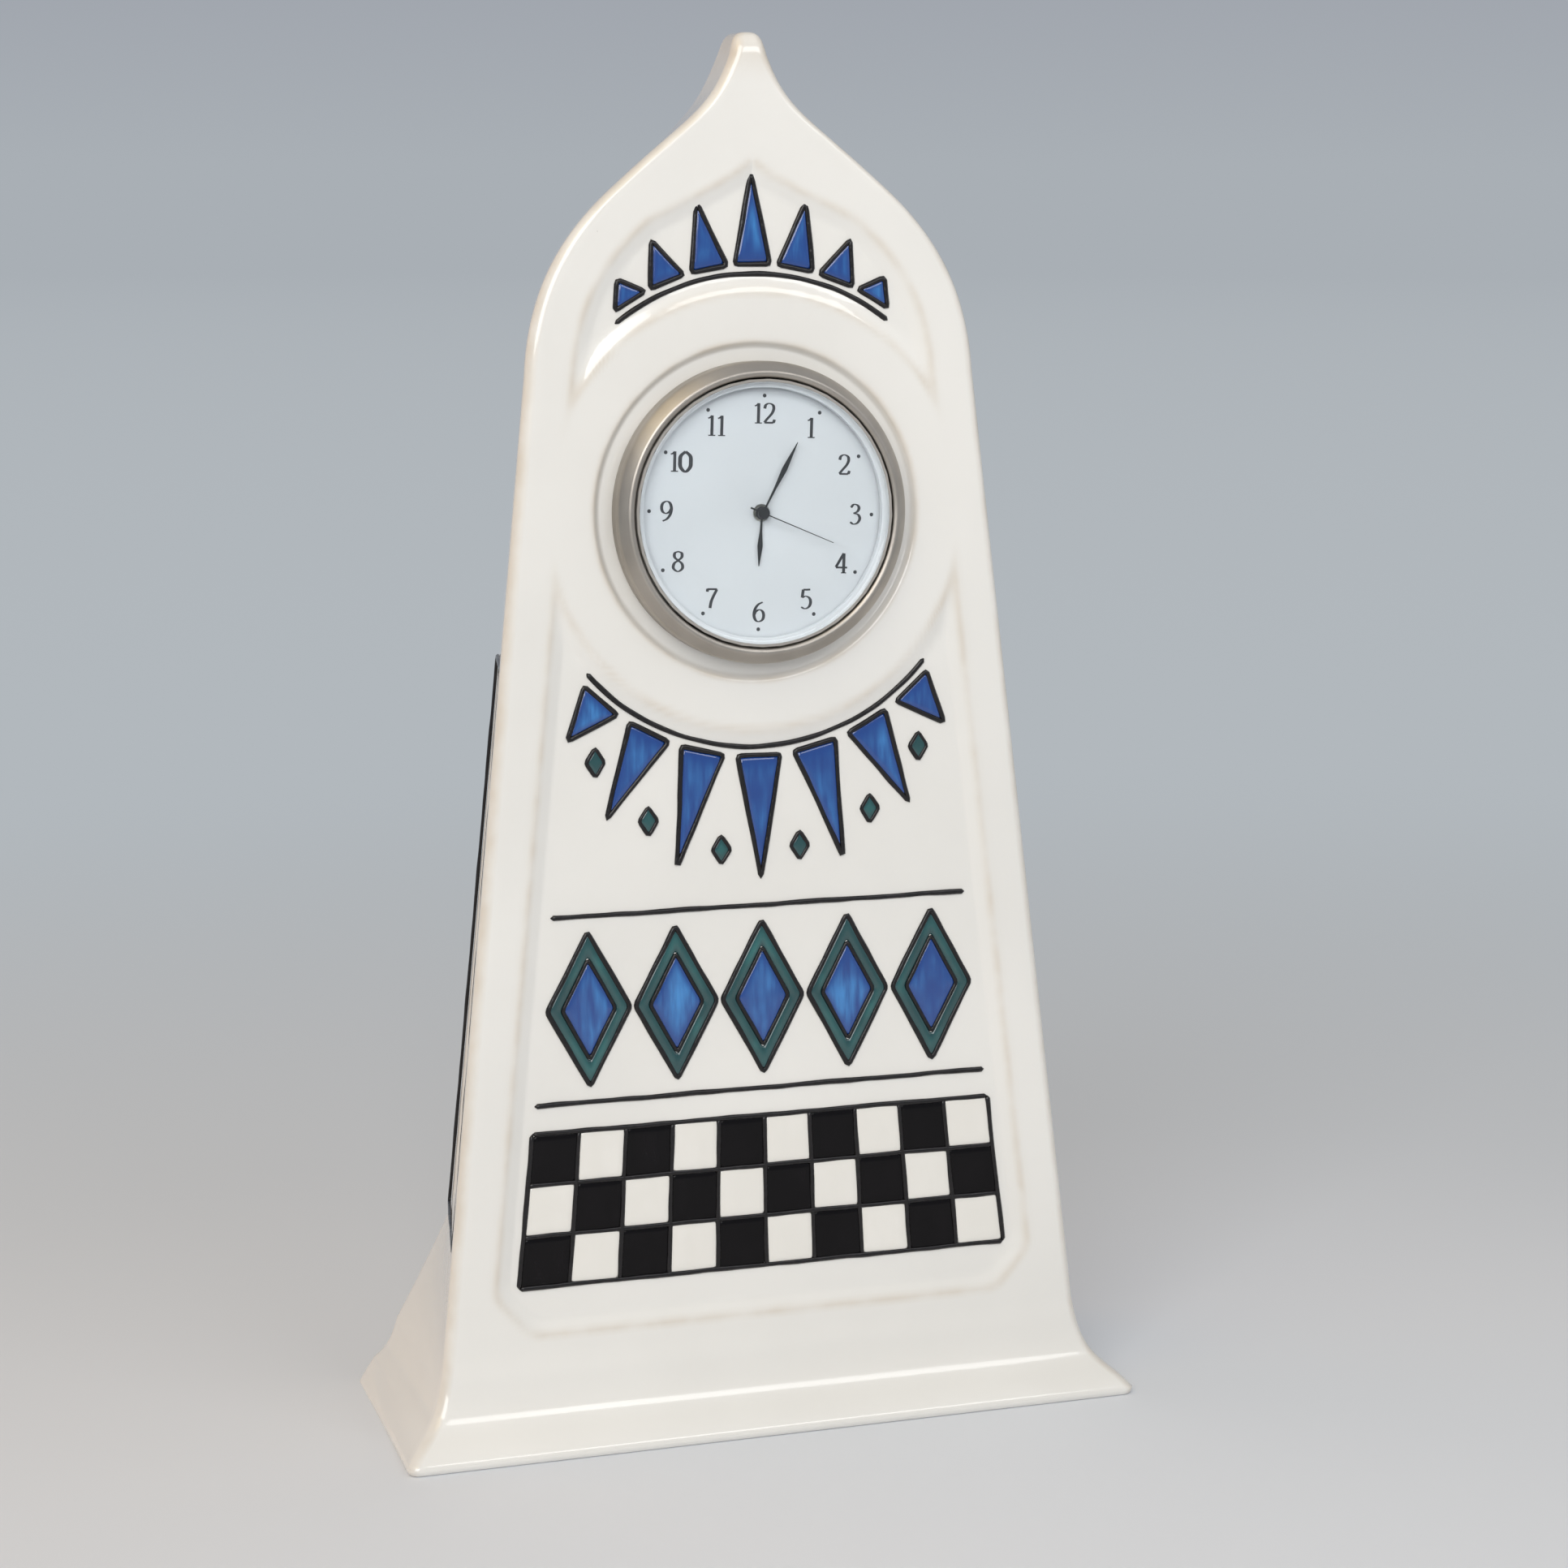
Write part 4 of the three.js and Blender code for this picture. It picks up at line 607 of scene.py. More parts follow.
def turning_marks(tree, spacing, low, high, centre=None):
    """Fine rings about the insert's axis, as a lathe or a spun finish leaves: noise read along the radius."""
    middle = front_face.origin if centre is None else centre
    here = add(tree, "TexCoord").outputs["Object"]
    away = add(tree, "VectorMath", {0: here, 1: tuple(middle * MM)}, operation="SUBTRACT").outputs[0]
    axial = add(tree, "VectorMath", {0: away, 1: tuple(front_face.out)}, operation="DOT_PRODUCT").outputs["Value"]
    along = add(tree, "VectorMath", {0: tuple(front_face.out), 3: axial}, operation="SCALE").outputs[0]
    flat = add(tree, "VectorMath", {0: away, 1: along}, operation="SUBTRACT").outputs[0]
    radius = add(tree, "VectorMath", {0: flat}, operation="LENGTH").outputs["Value"]
    where = add(tree, "CombineXYZ", {0: radius, 1: axial}).outputs[0]
    noise = add(tree, "TexNoise", {"Vector": where, "Scale": 1 / (spacing * MM), "Detail": 3.0, "Roughness": 0.7})
    return add(tree, "MapRange", {0: noise.outputs[0], 1: 0.3, 2: 0.7, 3: low, 4: high}).outputs[0]


def metal(name, dark, light, roughness, mark_depth, spacing=0.18, turned=True, grain_size=(1.2, 1.2, 1.2)):
    """A bare metal: tone between two colours, roughness over a range, and marks of its working, either turned
    about the insert's axis or running with a grain."""
    material, tree, shader = new_material(name)
    marks = turning_marks(tree, spacing, 0.0, 1.0) if turned else grain(tree, place(tree, grain_size), 3)
    cloud = grain(tree, place(tree, (7, 7, 7)), 2)
    tone = add(tree, "Mix", {0: cloud, 6: paint(dark), 7: paint(light)}, data_type="RGBA")
    rough = add(tree, "MapRange", {0: marks, 1: 0.0, 2: 1.0, 3: roughness[0], 4: roughness[1]})
    settle(tree, shader, {
        "Base Color": tone.outputs[2], "Metallic": 1.0, "Roughness": rough.outputs[0],
        "Normal": add(tree, "Bump", {"Height": marks, "Distance": mark_depth * MM}).outputs[0],
    })
    return material


def plastic(name, dark, light, roughness, depth, size=0.6, cloud_size=8):
    """A moulded or printed non-metal: tone between two colours, with a fine skin texture."""
    material, tree, shader = new_material(name)
    skin = grain(tree, place(tree, (size, size, size)), 2)
    cloud = grain(tree, place(tree, (cloud_size, cloud_size, cloud_size)), 2)
    tone = add(tree, "Mix", {0: cloud, 6: paint(dark), 7: paint(light)}, data_type="RGBA")
    rough = add(tree, "MapRange", {0: skin, 1: 0.0, 2: 1.0, 3: roughness[0], 4: roughness[1]})
    settle(tree, shader, {
        "Base Color": tone.outputs[2], "Roughness": rough.outputs[0], "IOR": 1.5,
        "Normal": add(tree, "Bump", {"Height": skin, "Distance": depth * MM}).outputs[0],
    })
    return material


def crystal_glass():
    """Flat mineral glass over the dial: clear, with a polished face and a faint trace of handling. It lets the
    lamps' light through to the dial."""
    material, tree, shader = new_material("mineral_glass")
    smear = grain(tree, place(tree, (9, 9, 9)), 2)
    rough = add(tree, "MapRange", {0: smear, 1: 0.5, 2: 1.0, 3: 0.0, 4: 0.03}).outputs[0]
    settle(tree, shader, {
        "Base Color": paint("#fbfdfd"), "Roughness": rough, "IOR": 1.46, "Transmission Weight": 1.0,
    })
    clear = add(tree, "BsdfTransparent", {0: paint("#f3f6f6")})
    shade = add(tree, "LightPath").outputs["Is Shadow Ray"]
    mixed = add(tree, "MixShader", {0: shade, 1: shader.outputs[0], 2: clear.outputs[0]})
    output = next(n for n in tree.nodes if n.type == "OUTPUT_MATERIAL")
    tree.links.new(mixed.outputs[0], output.inputs[0])
    return material


def wound_copper():
    """Enamelled copper wire wound on the bobbin: fine even ridges round it, drawn at 0.25 mm so that they show, with
    painted shade in the grooves between turns and a painted highlight on the crests.
    """
    material, tree, shader = new_material("enamelled_copper_winding")
    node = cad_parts["coil"]
    corners = np.array([v.co for v in node.data.vertices])
    axis = np.linalg.svd(corners - corners.mean(0), full_matrices=False)[2][0]
    here = add(tree, "TexCoord").outputs["Object"]
    along = add(tree, "VectorMath", {0: here, 1: tuple(axis)}, operation="DOT_PRODUCT").outputs["Value"]
    phase = add(tree, "Math", {0: along, 1: 2 * math.pi / (0.25 * MM)}, operation="MULTIPLY").outputs[0]
    ridge = add(tree, "Math", {0: phase}, operation="SINE").outputs[0]
    ridge = add(tree, "MapRange", {0: ridge, 1: -1.0, 2: 1.0, 3: 0.0, 4: 1.0}).outputs[0]
    # Painted shade and highlight: dark copper in the grooves between turns, light copper on the crests.
    tone = add(tree, "Mix", {0: ridge, 6: paint("#6d3312"), 7: paint("#c5733a")}, data_type="RGBA")
    settle(tree, shader, {
        "Base Color": tone.outputs[2], "Metallic": 0.85, "Roughness": 0.32,
        "Normal": add(tree, "Bump", {"Height": ridge, "Distance": 0.05 * MM}).outputs[0],
    })
    return material


def circuit_green():
    """Green solder mask over copper tracks: satin green with paler straight tracks."""
    material, tree, shader = new_material("green_solder_mask")
    brick = add(tree, "TexBrick", {"Vector": place(tree, (1, 1, 1), turn=(math.pi / 2, 0, 0.6)), "Scale": 0.5,
                                   "Mortar Size": 0.035, "Color1": (0, 0, 0, 1), "Color2": (0, 0, 0, 1),
                                   "Mortar": (1, 1, 1, 1)}).outputs[0]
    tone = add(tree, "Mix", {0: brick, 6: paint("#174a2d"), 7: paint("#4d8a55")}, data_type="RGBA")
    settle(tree, shader, {
        "Base Color": tone.outputs[2], "Roughness": 0.35, "IOR": 1.5,
        "Normal": add(tree, "Bump", {"Height": brick, "Distance": 0.03 * MM}).outputs[0],
    })
    return material


glaze = cream_glaze()
bisque = bare_bisque()
slip = black_slip()

# Glazes laid between the slip lines: a deep clear blue with long upright brush streaks, a dark green-blue that
# stays even, a black with hardly any mirror, and a cream a touch warmer than the case, each wet at its rim.
blue = pooled_glaze("brushed_blue_glaze", "#0b3f8a", "#4396dc", (1.1, 1.1, 9), 0.03, 0.85)
teal = pooled_glaze("brushed_teal_glaze", "#0e4144", "#2b7a78", (5, 5, 5), 0.02, 0.6)
black = pooled_glaze("pooled_black_glaze", "#0b090b", "#171417", (3, 3, 12), 0.02, 0.6, 0.18)
white = pooled_glaze("painted_cream_glaze", "#ece9e2", "#f2efe9", (3, 3, 9), 0.02, 0.8)

# Metals. The bezel's plating is warm and satin, with fine spun rings that draw each light out into a soft band;
# the cup's pressed steel is cooler, with coarser rings; turned steel has small sharp lights; the movement's brass
# is yellow with a fine upright grain; and the magnet is dark, grey and nearly matt.
nickel = metal("spun_satin_nickel", "#aba49b", "#b9b2a9", (0.36, 0.48), 0.008, 0.14)
pressed = metal("pressed_nickelled_steel", "#a9a9a6", "#bcbcb8", (0.3, 0.42), 0.008, 0.3)
bright = metal("bright_turned_steel", "#b9babd", "#c9cacc", (0.15, 0.25), 0.004, turned=False,
               grain_size=(0.3, 2, 0.3))
brass = metal("grained_movement_brass", "#b08c3f", "#c9a552", (0.29, 0.4), 0.006, turned=False,
              grain_size=(0.25, 0.25, 4))
magnet = metal("sintered_magnet_grey", "#4c4d52", "#5c5d62", (0.45, 0.6), 0.02, turned=False,
               grain_size=(0.3, 0.3, 0.3))

# Plastics, lacquers and inks. Rubber drinks the light; the crystal's seal is painted a mid grey as the shade line
# inside the bezel; nylon wheels are milky; dark plastic is plain and satin; the hands' lacquer has a thin soft
# shine; ink lies matt on the dial, whose own lacquer is an even cool white.
rubber = plastic("moulded_black_rubber", "#17171a", "#222226", (0.7, 0.9), 0.02, 0.4)
seal = plastic("crystal_seal_painted_shade", "#98948f", "#a19d98", (0.5, 0.65), 0.01)
nylon = plastic("moulded_white_nylon", "#e9e7de", "#f2f0e8", (0.35, 0.5), 0.01)
dark_plastic = plastic("moulded_dark_plastic", "#222429", "#2f3238", (0.4, 0.6), 0.015)
enamel = plastic("black_hand_lacquer", "#0c0c0e", "#17171a", (0.29, 0.36), 0.004)
ink = plastic("printed_black_ink", "#222227", "#2e2e33", (0.4, 0.55), 0.003)
lacquer = plastic("dial_white_lacquer", "#d1d3d7", "#d7d9dd", (0.38, 0.46), 0.003, 0.5, 20)
glass = crystal_glass()
copper = wound_copper()
board = circuit_green()


# The case.

def round_the_dial(shape, ring_points, ring_numbers, outer, depth_of, stations):
    """Fills the block left open round the dial: rays run from the block's edge in to a circle, at shares of the
    way, and each point sinks by the face's relief. Returns the numbers of the innermost ring."""
    x, up, _ = front_face.local(ring_points)
    angle = np.arctan2(up, x)
    reach = np.hypot(x, up)
    rows = [ring_numbers]
    for radius, share in stations:
        far = radius + share * (reach - radius)
        rx, ru = far * np.cos(angle), far * np.sin(angle)
        depth, thin = depth_of(rx, ru)
        rows.append(shape.add(front_face.lay(rx, ru, outer - depth), thin))
    shape.weave(np.stack(rows), 0 if outer == 0 else 1)
    return rows[-1]


def open_block(numbers, low, high, left, right):
    """A closed grid's cells without a block of its rows and columns, and the numbers round the block's edge."""
    rows, columns = numbers.shape
    cells = cells_between(rows, columns).reshape(rows - 1, columns, 4)
    keep = np.ones((rows - 1, columns), bool)
    keep[low:high, left:right] = False
    edge = np.concatenate([numbers[low, left:right], numbers[low:high, right],
                           numbers[high, right:left:-1], numbers[high:low:-1, left]])
    return numbers.ravel()[cells[keep]], edge


def glazed_case():
    """The cast case as one closed shell: the outer skin with its sunk relief, a bore for the insert, the foot's
    rim and recess, the vent, and the inner skin."""
    shape = Shape()
    cells = (FRONT_CELLS, ARRIS_CELLS, SIDE_CELLS, BACK_CELLS)
    skin = case_rings(LEVELS, 0, cells)
    thin = np.zeros(skin.shape[:2])
    starts = np.cumsum([0, FRONT_CELLS, ARRIS_CELLS, SIDE_CELLS, ARRIS_CELLS, BACK_CELLS, ARRIS_CELLS, SIDE_CELLS])
    for start in starts[[1, 3, 5, 7]]:
        thin[:, start:start + ARRIS_CELLS] = THIN_AT_ARRIS * np.sin(np.linspace(0, math.pi, ARRIS_CELLS + 1)[:-1])
    thin += THIN_AT_TIP * smooth_step((LEVELS[:, 1:] - THIN_FROM) / THIN_REACH)
    front = slice(0, FRONT_CELLS + 1)
    x, up, _ = front_face.local(skin[:, front])
    depth, edge = front_relief(x, up)
    skin[:, front] -= depth[..., None] * front_face.out
    thin[:, front] += edge
    for sign, start in ((1, starts[2]), (-1, starts[6])):
        side = slice(start, start + SIDE_CELLS + 1)
        across, up, _ = side_faces[sign].local(skin[:, side])
        depth, edge = sunk(side_depth(across, up))
        skin[:, side] -= depth[..., None] * side_faces[sign].out
        thin[:, side] += edge
    outer = shape.add(skin, thin.clip(0, 1))
    low, high = (int(np.argmin(np.abs(LEVELS[:, 1] - z))) for z in (BLOCK_LOW, BLOCK_HIGH))
    high -= (high - low) % 2
    low_even, high_even = low + low % 2, high + high % 2
    faces, edge = open_block(outer, low_even, high_even, BLOCK_MARGIN, FRONT_CELLS - BLOCK_MARGIN)
    shape.join(faces)
    shape.join(fan(outer[-1], shape.add(skin[-1].mean(0)[None], 1.0)[0]))

    points = np.concatenate(shape.points)
    stations = [(MOUTH_REACH, share) for share in np.linspace(1, 0, MOUTH_SHARES)[1:-1]] + [(r, 0) for r in SEAT_RINGS]
    mouth = round_the_dial(shape, points[edge], edge, 0, front_relief, stations)
    angle = np.arctan2(*front_face.local(points[edge])[1::-1])

    def bore_ring(radius, out):
        return shape.add(front_face.lay(radius * np.cos(angle), radius * np.sin(angle), out))

    inner_face = -WALL * math.cos(face_lean)
    turn = np.linspace(0, math.pi / 2, 5)[1:]
    lips = [(HOLE_RADIUS + EDGE_ROUNDING * (1 - math.sin(t)), -SEAT_DEPTH - EDGE_ROUNDING * (1 - math.cos(t)))
            for t in turn]
    lips += [(HOLE_RADIUS, out) for out in (-2.2, -3.2)]
    lips += [(HOLE_RADIUS + EDGE_ROUNDING * (1 - math.cos(t)), inner_face + EDGE_ROUNDING * (1 - math.sin(t)))
             for t in turn]
    bore = np.stack([mouth] + [bore_ring(r, out) for r, out in lips])
    shape.weave(bore, 1)

    inside_cells = tuple(n // 2 for n in cells)
    rows = np.arange(len(LEVELS))
    used = rows[(rows % 2 == 0) & (LEVELS[:, 1] > FLOOR) & (LEVELS[:, 1] < HOLLOW_TOP)]
    floor_level = [[np.interp(FLOOR, LEVELS[:, 1], LEVELS[:, 0]), FLOOR]]
    liner = case_rings(np.concatenate([floor_level, LEVELS[used]]), WALL, inside_cells)
    inner = shape.add(liner)
    block = [int(np.where(used == row)[0][0]) + 1 for row in (low_even, high_even)]
    half_margin, half_front = BLOCK_MARGIN // 2, FRONT_CELLS // 2
    faces, inner_edge = open_block(inner, *block, half_margin, half_front - half_margin)
    shape.join(faces, 1)
    points = np.concatenate(shape.points)

    def level(across, up):
        return np.zeros(across.shape), 0.0

    inner_mouth = round_the_dial(shape, points[inner_edge], inner_edge, inner_face, level,
                                 [(22.5, 0.5), (22.5, 0), (HOLE_RADIUS + 2 * EDGE_ROUNDING, 0)])
    shape.join(halving(bore[-1], inner_mouth), 1)
    top = LEVELS[used[-1], 1]
    shape.join(fan(inner[-1], shape.add(np.array([[0, (back_plane(top) - front_plane(top)) / 2, top]]))[0]), 1)

    rim_inner = case_rings(np.array([[FOOT_HALF_WIDTH, 0.0]]), FOOT_RIM, cells)[0]
    foot = skin[0]
    rows = [outer[0]]
    toward = rim_inner - foot
    for share, rise in ((0.04, 0), (0.5, 0), (0.93, 0), (0.98, 0.12), (1, 0.4), (1, 1.2), (1.03, 1.5)):
        rows.append(shape.add(foot + share * toward + np.array([0, 0, rise])))
    rim = np.stack(rows)
    shape.weave(rim[:4], 1)
    shape.weave(rim[3:])
    angle = np.arctan2(rim_inner[:, 1], rim_inner[:, 0])

    def vent_ring(radius, z, at=angle):
        return np.stack([radius * np.cos(at), radius * np.sin(at), np.full(len(at), z)], 1)

    last = foot + 1.03 * toward
    rows = [rim[-1]]
    for share in (0.1, 0.35, 0.6, 0.85, 0.97):
        ring = last + share * (vent_ring(VENT_RADIUS + EDGE_ROUNDING, 0) - last)
        ring[:, 2] = RIM_HEIGHT
        rows.append(shape.add(ring))
    for radius, z in ((0.4, 0.02), (0.15, 0.15), (0, 0.45), (0, 1.7), (0, 2.95), (0.15, 3.25), (0.4, 3.4)):
        rows.append(shape.add(vent_ring(VENT_RADIUS + radius, RIM_HEIGHT + z)))
    base = np.stack(rows)
    shape.weave(base)
    start = vent_ring(VENT_RADIUS + VENT_LIP, FLOOR, angle[::2])
    edge_ring = shape.add(start)
    shape.join(halving(base[-1], edge_ring), 1)
    between = [shape.add(start + share * (liner[0] - start)) for share in (0.3, 0.65)]
    shape.weave(np.stack([edge_ring, *between, inner[0]]), 1)
    return shape.build("glazed_case", [glaze, bisque], "case", "glaze", ["pottery_case"])


glazed_case()


# Slip lines and pooled glazes, drawn on a face in millimetres across and up.

LINE_WIDTH = 0.85
LINE_HEIGHT = 0.42
LINE_STEP = 0.45
LINE_SECTION = 8
LINE_SUNK = 0.15
PATH_WAVER, WIDTH_WAVER = 0.07, 0.13
POOL_HEIGHT = 0.3
POOL_LOW = 0.05


def rounded(corners, radius, steps=4):
    """A closed outline with its corners rounded: each is replaced by a quadratic curve that starts and ends at a
    distance along its two edges."""
    corners = np.array(corners, float)
    before, after = np.roll(corners, 1, 0) - corners, np.roll(corners, -1, 0) - corners
    lengths = np.hypot(*before.T)[:, None], np.hypot(*after.T)[:, None]
    start = corners + before / lengths[0] * np.minimum(radius, 0.45 * lengths[0])
    end = corners + after / lengths[1] * np.minimum(radius, 0.45 * lengths[1])
    t = np.linspace(0, 1, steps + 1)[None, :, None]
    curve = (1 - t) ** 2 * start[:, None] + 2 * t * (1 - t) * corners[:, None] + t * t * end[:, None]
    return curve.reshape(-1, 2)


def evenly(run, step, closed):
    """Points at even distances along a broken line, at about a step apart."""
    run = np.array(run, float)
    if closed:
        run = np.concatenate([run, run[:1]])
    far = np.concatenate([[0], np.cumsum(np.hypot(*np.diff(run, axis=0).T))])
    count = max(6, int(round(far[-1] / step)))
    at = np.linspace(0, far[-1], count + 1)
    if closed:
        at = at[:-1]
    return np.stack([np.interp(at, far, run[:, i]) for i in (0, 1)], 1), at, far[-1]


def waver(at, total, seed, closed):
    """A slow unsteady value along a line, between about -1 and 1: three sines with places of their own, which
    close on themselves along a closed line."""
    rates = np.array([2.1, 4.7, 9.3]) + 0.13 * (seed % 7)
    if closed:
        turns = np.maximum(1, np.round(rates * total / (2 * math.pi * 9)))
        rates = turns * 2 * math.pi / total * 9
    phases = np.array([0.9, 2.3, 4.1]) * (seed + 1)
    return (np.sin(np.outer(at, rates / 9) + phases) * [0.55, 0.3, 0.2]).sum(1)


def pipe_line(shape, face, run, seed, closed=False, width=LINE_WIDTH, floor=-PANEL_DEPTH):
    """Lays one piped line: a half-round section, flat underneath, carried along the run. Its width swells and its
    path wavers a little, and an open line's ends draw in round."""
    middle, at, total = evenly(run, LINE_STEP, closed)
    ahead = np.roll(middle, -1, 0) - np.roll(middle, 1, 0) if closed else np.gradient(middle, axis=0)
    ahead /= np.hypot(*ahead.T)[:, None]
    square = np.stack([-ahead[:, 1], ahead[:, 0]], 1)
    middle = middle + square * PATH_WAVER * waver(at, total, seed, closed)[:, None]
    swelling = 1 + WIDTH_WAVER * waver(at, total, seed + 3, closed)
    if not closed:
        blunt = np.minimum(at, total - at) / (0.5 * width)
        swelling *= np.sqrt(1 - (1 - blunt.clip(0.02, 1)) ** 2)
    turn = np.linspace(0, 2 * math.pi, LINE_SECTION + 1)[:-1] + math.pi / LINE_SECTION
    aside, rise = np.cos(turn), np.where(np.sin(turn) > 0, LINE_HEIGHT, LINE_SUNK) * np.sin(turn)
    across = middle[:, None, :] + square[:, None, :] * (aside[None, :, None] * swelling[:, None, None] * width / 2)
    height = floor + rise[None, :] * swelling[:, None]
    points = face.lay(across[..., 0], across[..., 1], height)
    numbers = shape.add(points)
    if closed:
        numbers = np.concatenate([numbers, numbers[:1]])
    shape.weave(numbers)
    if not closed:
        shape.join(fan(numbers[0], shape.add(points[0].mean(0)[None])[0]))
        shape.join(fan(numbers[-1], shape.add(points[-1].mean(0)[None])[0]))


def pool(shape, face, outline, inner=None, floor=-PANEL_DEPTH, height=POOL_HEIGHT):
    """Fills an outline with glaze: a low dome that falls to the slip line all round. With an inner outline, it is a
    band between the two, highest along its middle. Each point lies on a ray from the outline to the centre or to
    the inner outline. The rim value is 1 at the lines and 0 in the middle."""
    outer, _, _ = evenly(outline, 0.55, True)
    if inner is None:
        centre = outer.mean(0)
        size = np.hypot(*(outer - centre).T).min()
        shares = np.minimum(np.array([0, 0, 0.18, 0.45, 0.9, 1.6]) / size, [0, 0, 0.12, 0.3, 0.55, 0.8])
        heights = [-LINE_SUNK, POOL_LOW, 0.62 * height, 0.86 * height, 0.97 * height, height]
        rims = [1, 1, 0.95, 0.8, 0.5, 0.2]
        target = np.broadcast_to(centre, outer.shape)
    else:
        even, _, _ = evenly(inner, 0.3, True)
        angle = np.arctan2(*(outer - outer.mean(0)).T[::-1])
        even_angle = np.arctan2(*(even - outer.mean(0)).T[::-1])
        order = np.argsort(even_angle)
        target = np.stack([np.interp(angle, even_angle[order], even[order, i], period=2 * math.pi) for i in (0, 1)], 1)
        shares = [0, 0, 0.08, 0.22, 0.5, 0.78, 0.92, 1, 1]
        bank = [-LINE_SUNK, POOL_LOW, 0.62 * height, 0.9 * height]
        heights = bank + [height] + bank[::-1]
        rims = [1, 1, 0.95, 0.6, 0.2, 0.6, 0.95, 1, 1]
    rows = np.stack([outer + share * (target - outer) for share in shares])
    up = floor + np.array(heights)[:, None]
    points = face.lay(rows[..., 0], rows[..., 1], np.broadcast_to(up, rows.shape[:2]))
    numbers = shape.add(points, np.broadcast_to(np.array(rims, float)[:, None], rows.shape[:2]))
    if inner is None:
        shape.weave(numbers)
        for row, out in ((0, -LINE_SUNK), (-1, height)):
            tip = shape.add(face.lay(centre[0], centre[1], floor + out)[None], 0.0)[0]
            shape.join(fan(numbers[row], tip))
    else:
        shape.weave(np.concatenate([numbers, numbers[:1]]))


def lozenge(x, y, half_width, half_height, shrink=0.0):
    """Corners of a lozenge whose edges are all moved in by the same distance."""
    slope = math.hypot(half_width, half_height)
    scale = 1 - shrink * slope / (half_width * half_height)
    return [(x, y - scale * half_height), (x + scale * half_width, y), (x, y + scale * half_height),
            (x - scale * half_width, y)]


def ray(angle, base, tip, spread, shrink=0.0):
    """Corners of a ray that stands on a circle about the dial and points away from it, moved in all round.
    Angles are in degrees, clockwise from straight up."""
    a = math.radians(angle)
    along, across = np.array([math.sin(a), math.cos(a)]), np.array([math.cos(a), -math.sin(a)])
    half = base * math.tan(math.radians(spread))
    slant = math.hypot(half, tip - base)
    point = tip - shrink * slant / half
    foot = base + shrink
    wide = half * (point - foot) / (tip - base)
    return [along * foot - across * wide, along * foot + across * wide, along * point]


SIDE_FRAME = 1.5
SIDE_FRAME_CORNER = 1.2
ARC_RADIUS = 37.4
ARC_INSET = 0.5
RAY_LIFT = 0.9

# Corner roundings, how far a glaze reaches under its line, and the widths of the finer lines.
RAY_CORNER, RAY_POOL_CORNER, RAY_POOL_INSET = 0.5, 0.4, 0.2
LOZENGE_CORNER, BORDER_CORNER, DROP_CORNER, CELL_CORNER = 0.6, 0.5, 0.4, 0.5
UNDER_LINE = 0.15
FINE_LINE, FINEST_LINE = 0.7, 0.6

# Numbers that give each line a waver of its own.
ARC_SEEDS, BORDER_SEED = (31, 32), 40
CHECK_ROW_SEED, CHECK_COLUMN_SEED = 60, 70
FRAME_SEED, SIDE_SEED, SIDE_BORDER_SEED = 80, 90, 95

# Rays above and below the dial: the reach of each from the dial's centre by its angle from the middle one, half
# the angle that each spans at its base, and the ends of the slip arcs that they stand on.
CROWN = {0: 52.4, 10.5: 48.9, 21: 45.1, 31: 42.1}
CROWN_SPREAD = 4.3
SKIRT = {0: 58, 14: 57, 28: 53.5, 42: 46.5}
SKIRT_SPREAD = 5.3
CROWN_ARC, SKIRT_ARC = (-37, 37), (131, 229)

# Small lozenges between the lower rays: angle and distance from the dial's centre, and their half sizes.
DROPS = ((173, 53.5), (187, 53.5), (159, 51.2), (201, 51.2), (145, 46.6), (215, 46.6))
DROP_HALF_WIDTH, DROP_HALF_HEIGHT = 1.5, 2.3

# The row of lozenges, the lines over and under it, and the check band.
ROW_HEIGHT, ROW_PITCH, ROW_HALF_WIDTH, ROW_HALF_HEIGHT, ROW_GAP = 69.5, 14.3, 6.7, 12.4, 2.4
ROW_BORDER, ROW_UNDER = 2.1, 0.2
BAND_INSET = 1.6
CHECK_ROWS, CHECK_COLUMNS, CHECK_LOW, CHECK_HIGH, CHECK_FILL = 3, 10, 25.6, 50.2, 0.955

# Lozenges of a side panel: height of the middle, half height and half width, and the border's share of that.
SIDE_LOZENGES = ((15.6, 10.8, 7.6), (37.8, 9.8, 6.4), (57.9, 8.7, 5.2), (75.9, 7.6, 4.2))
SIDE_BORDER = 0.27


def circle_run(radius, start, end, step=1.5):
    """Points of a circle about the dial between two angles in degrees, clockwise from straight up."""
    angle = np.radians(np.linspace(start, end, int(abs(end - start) / step) + 2))
    return np.stack([radius * np.sin(angle), radius * np.cos(angle)], 1)


def bordered_lozenge(face, whole, border, under, seeds, fine, lines, blues, teals):
    """A lozenge in a slip line, with a finer line inside it: a teal band between the two, and blue in the
    middle. Each glaze reaches a little under its lines."""
    pipe_line(lines, face, rounded(lozenge(*whole), LOZENGE_CORNER), seeds[0], True)
    pipe_line(lines, face, rounded(lozenge(*whole, border), BORDER_CORNER), seeds[1], True, fine)
    pool(teals, face, rounded(lozenge(*whole, UNDER_LINE), LOZENGE_CORNER),
         rounded(lozenge(*whole, border - under), BORDER_CORNER))
    pool(blues, face, rounded(lozenge(*whole, border + UNDER_LINE), BORDER_CORNER))


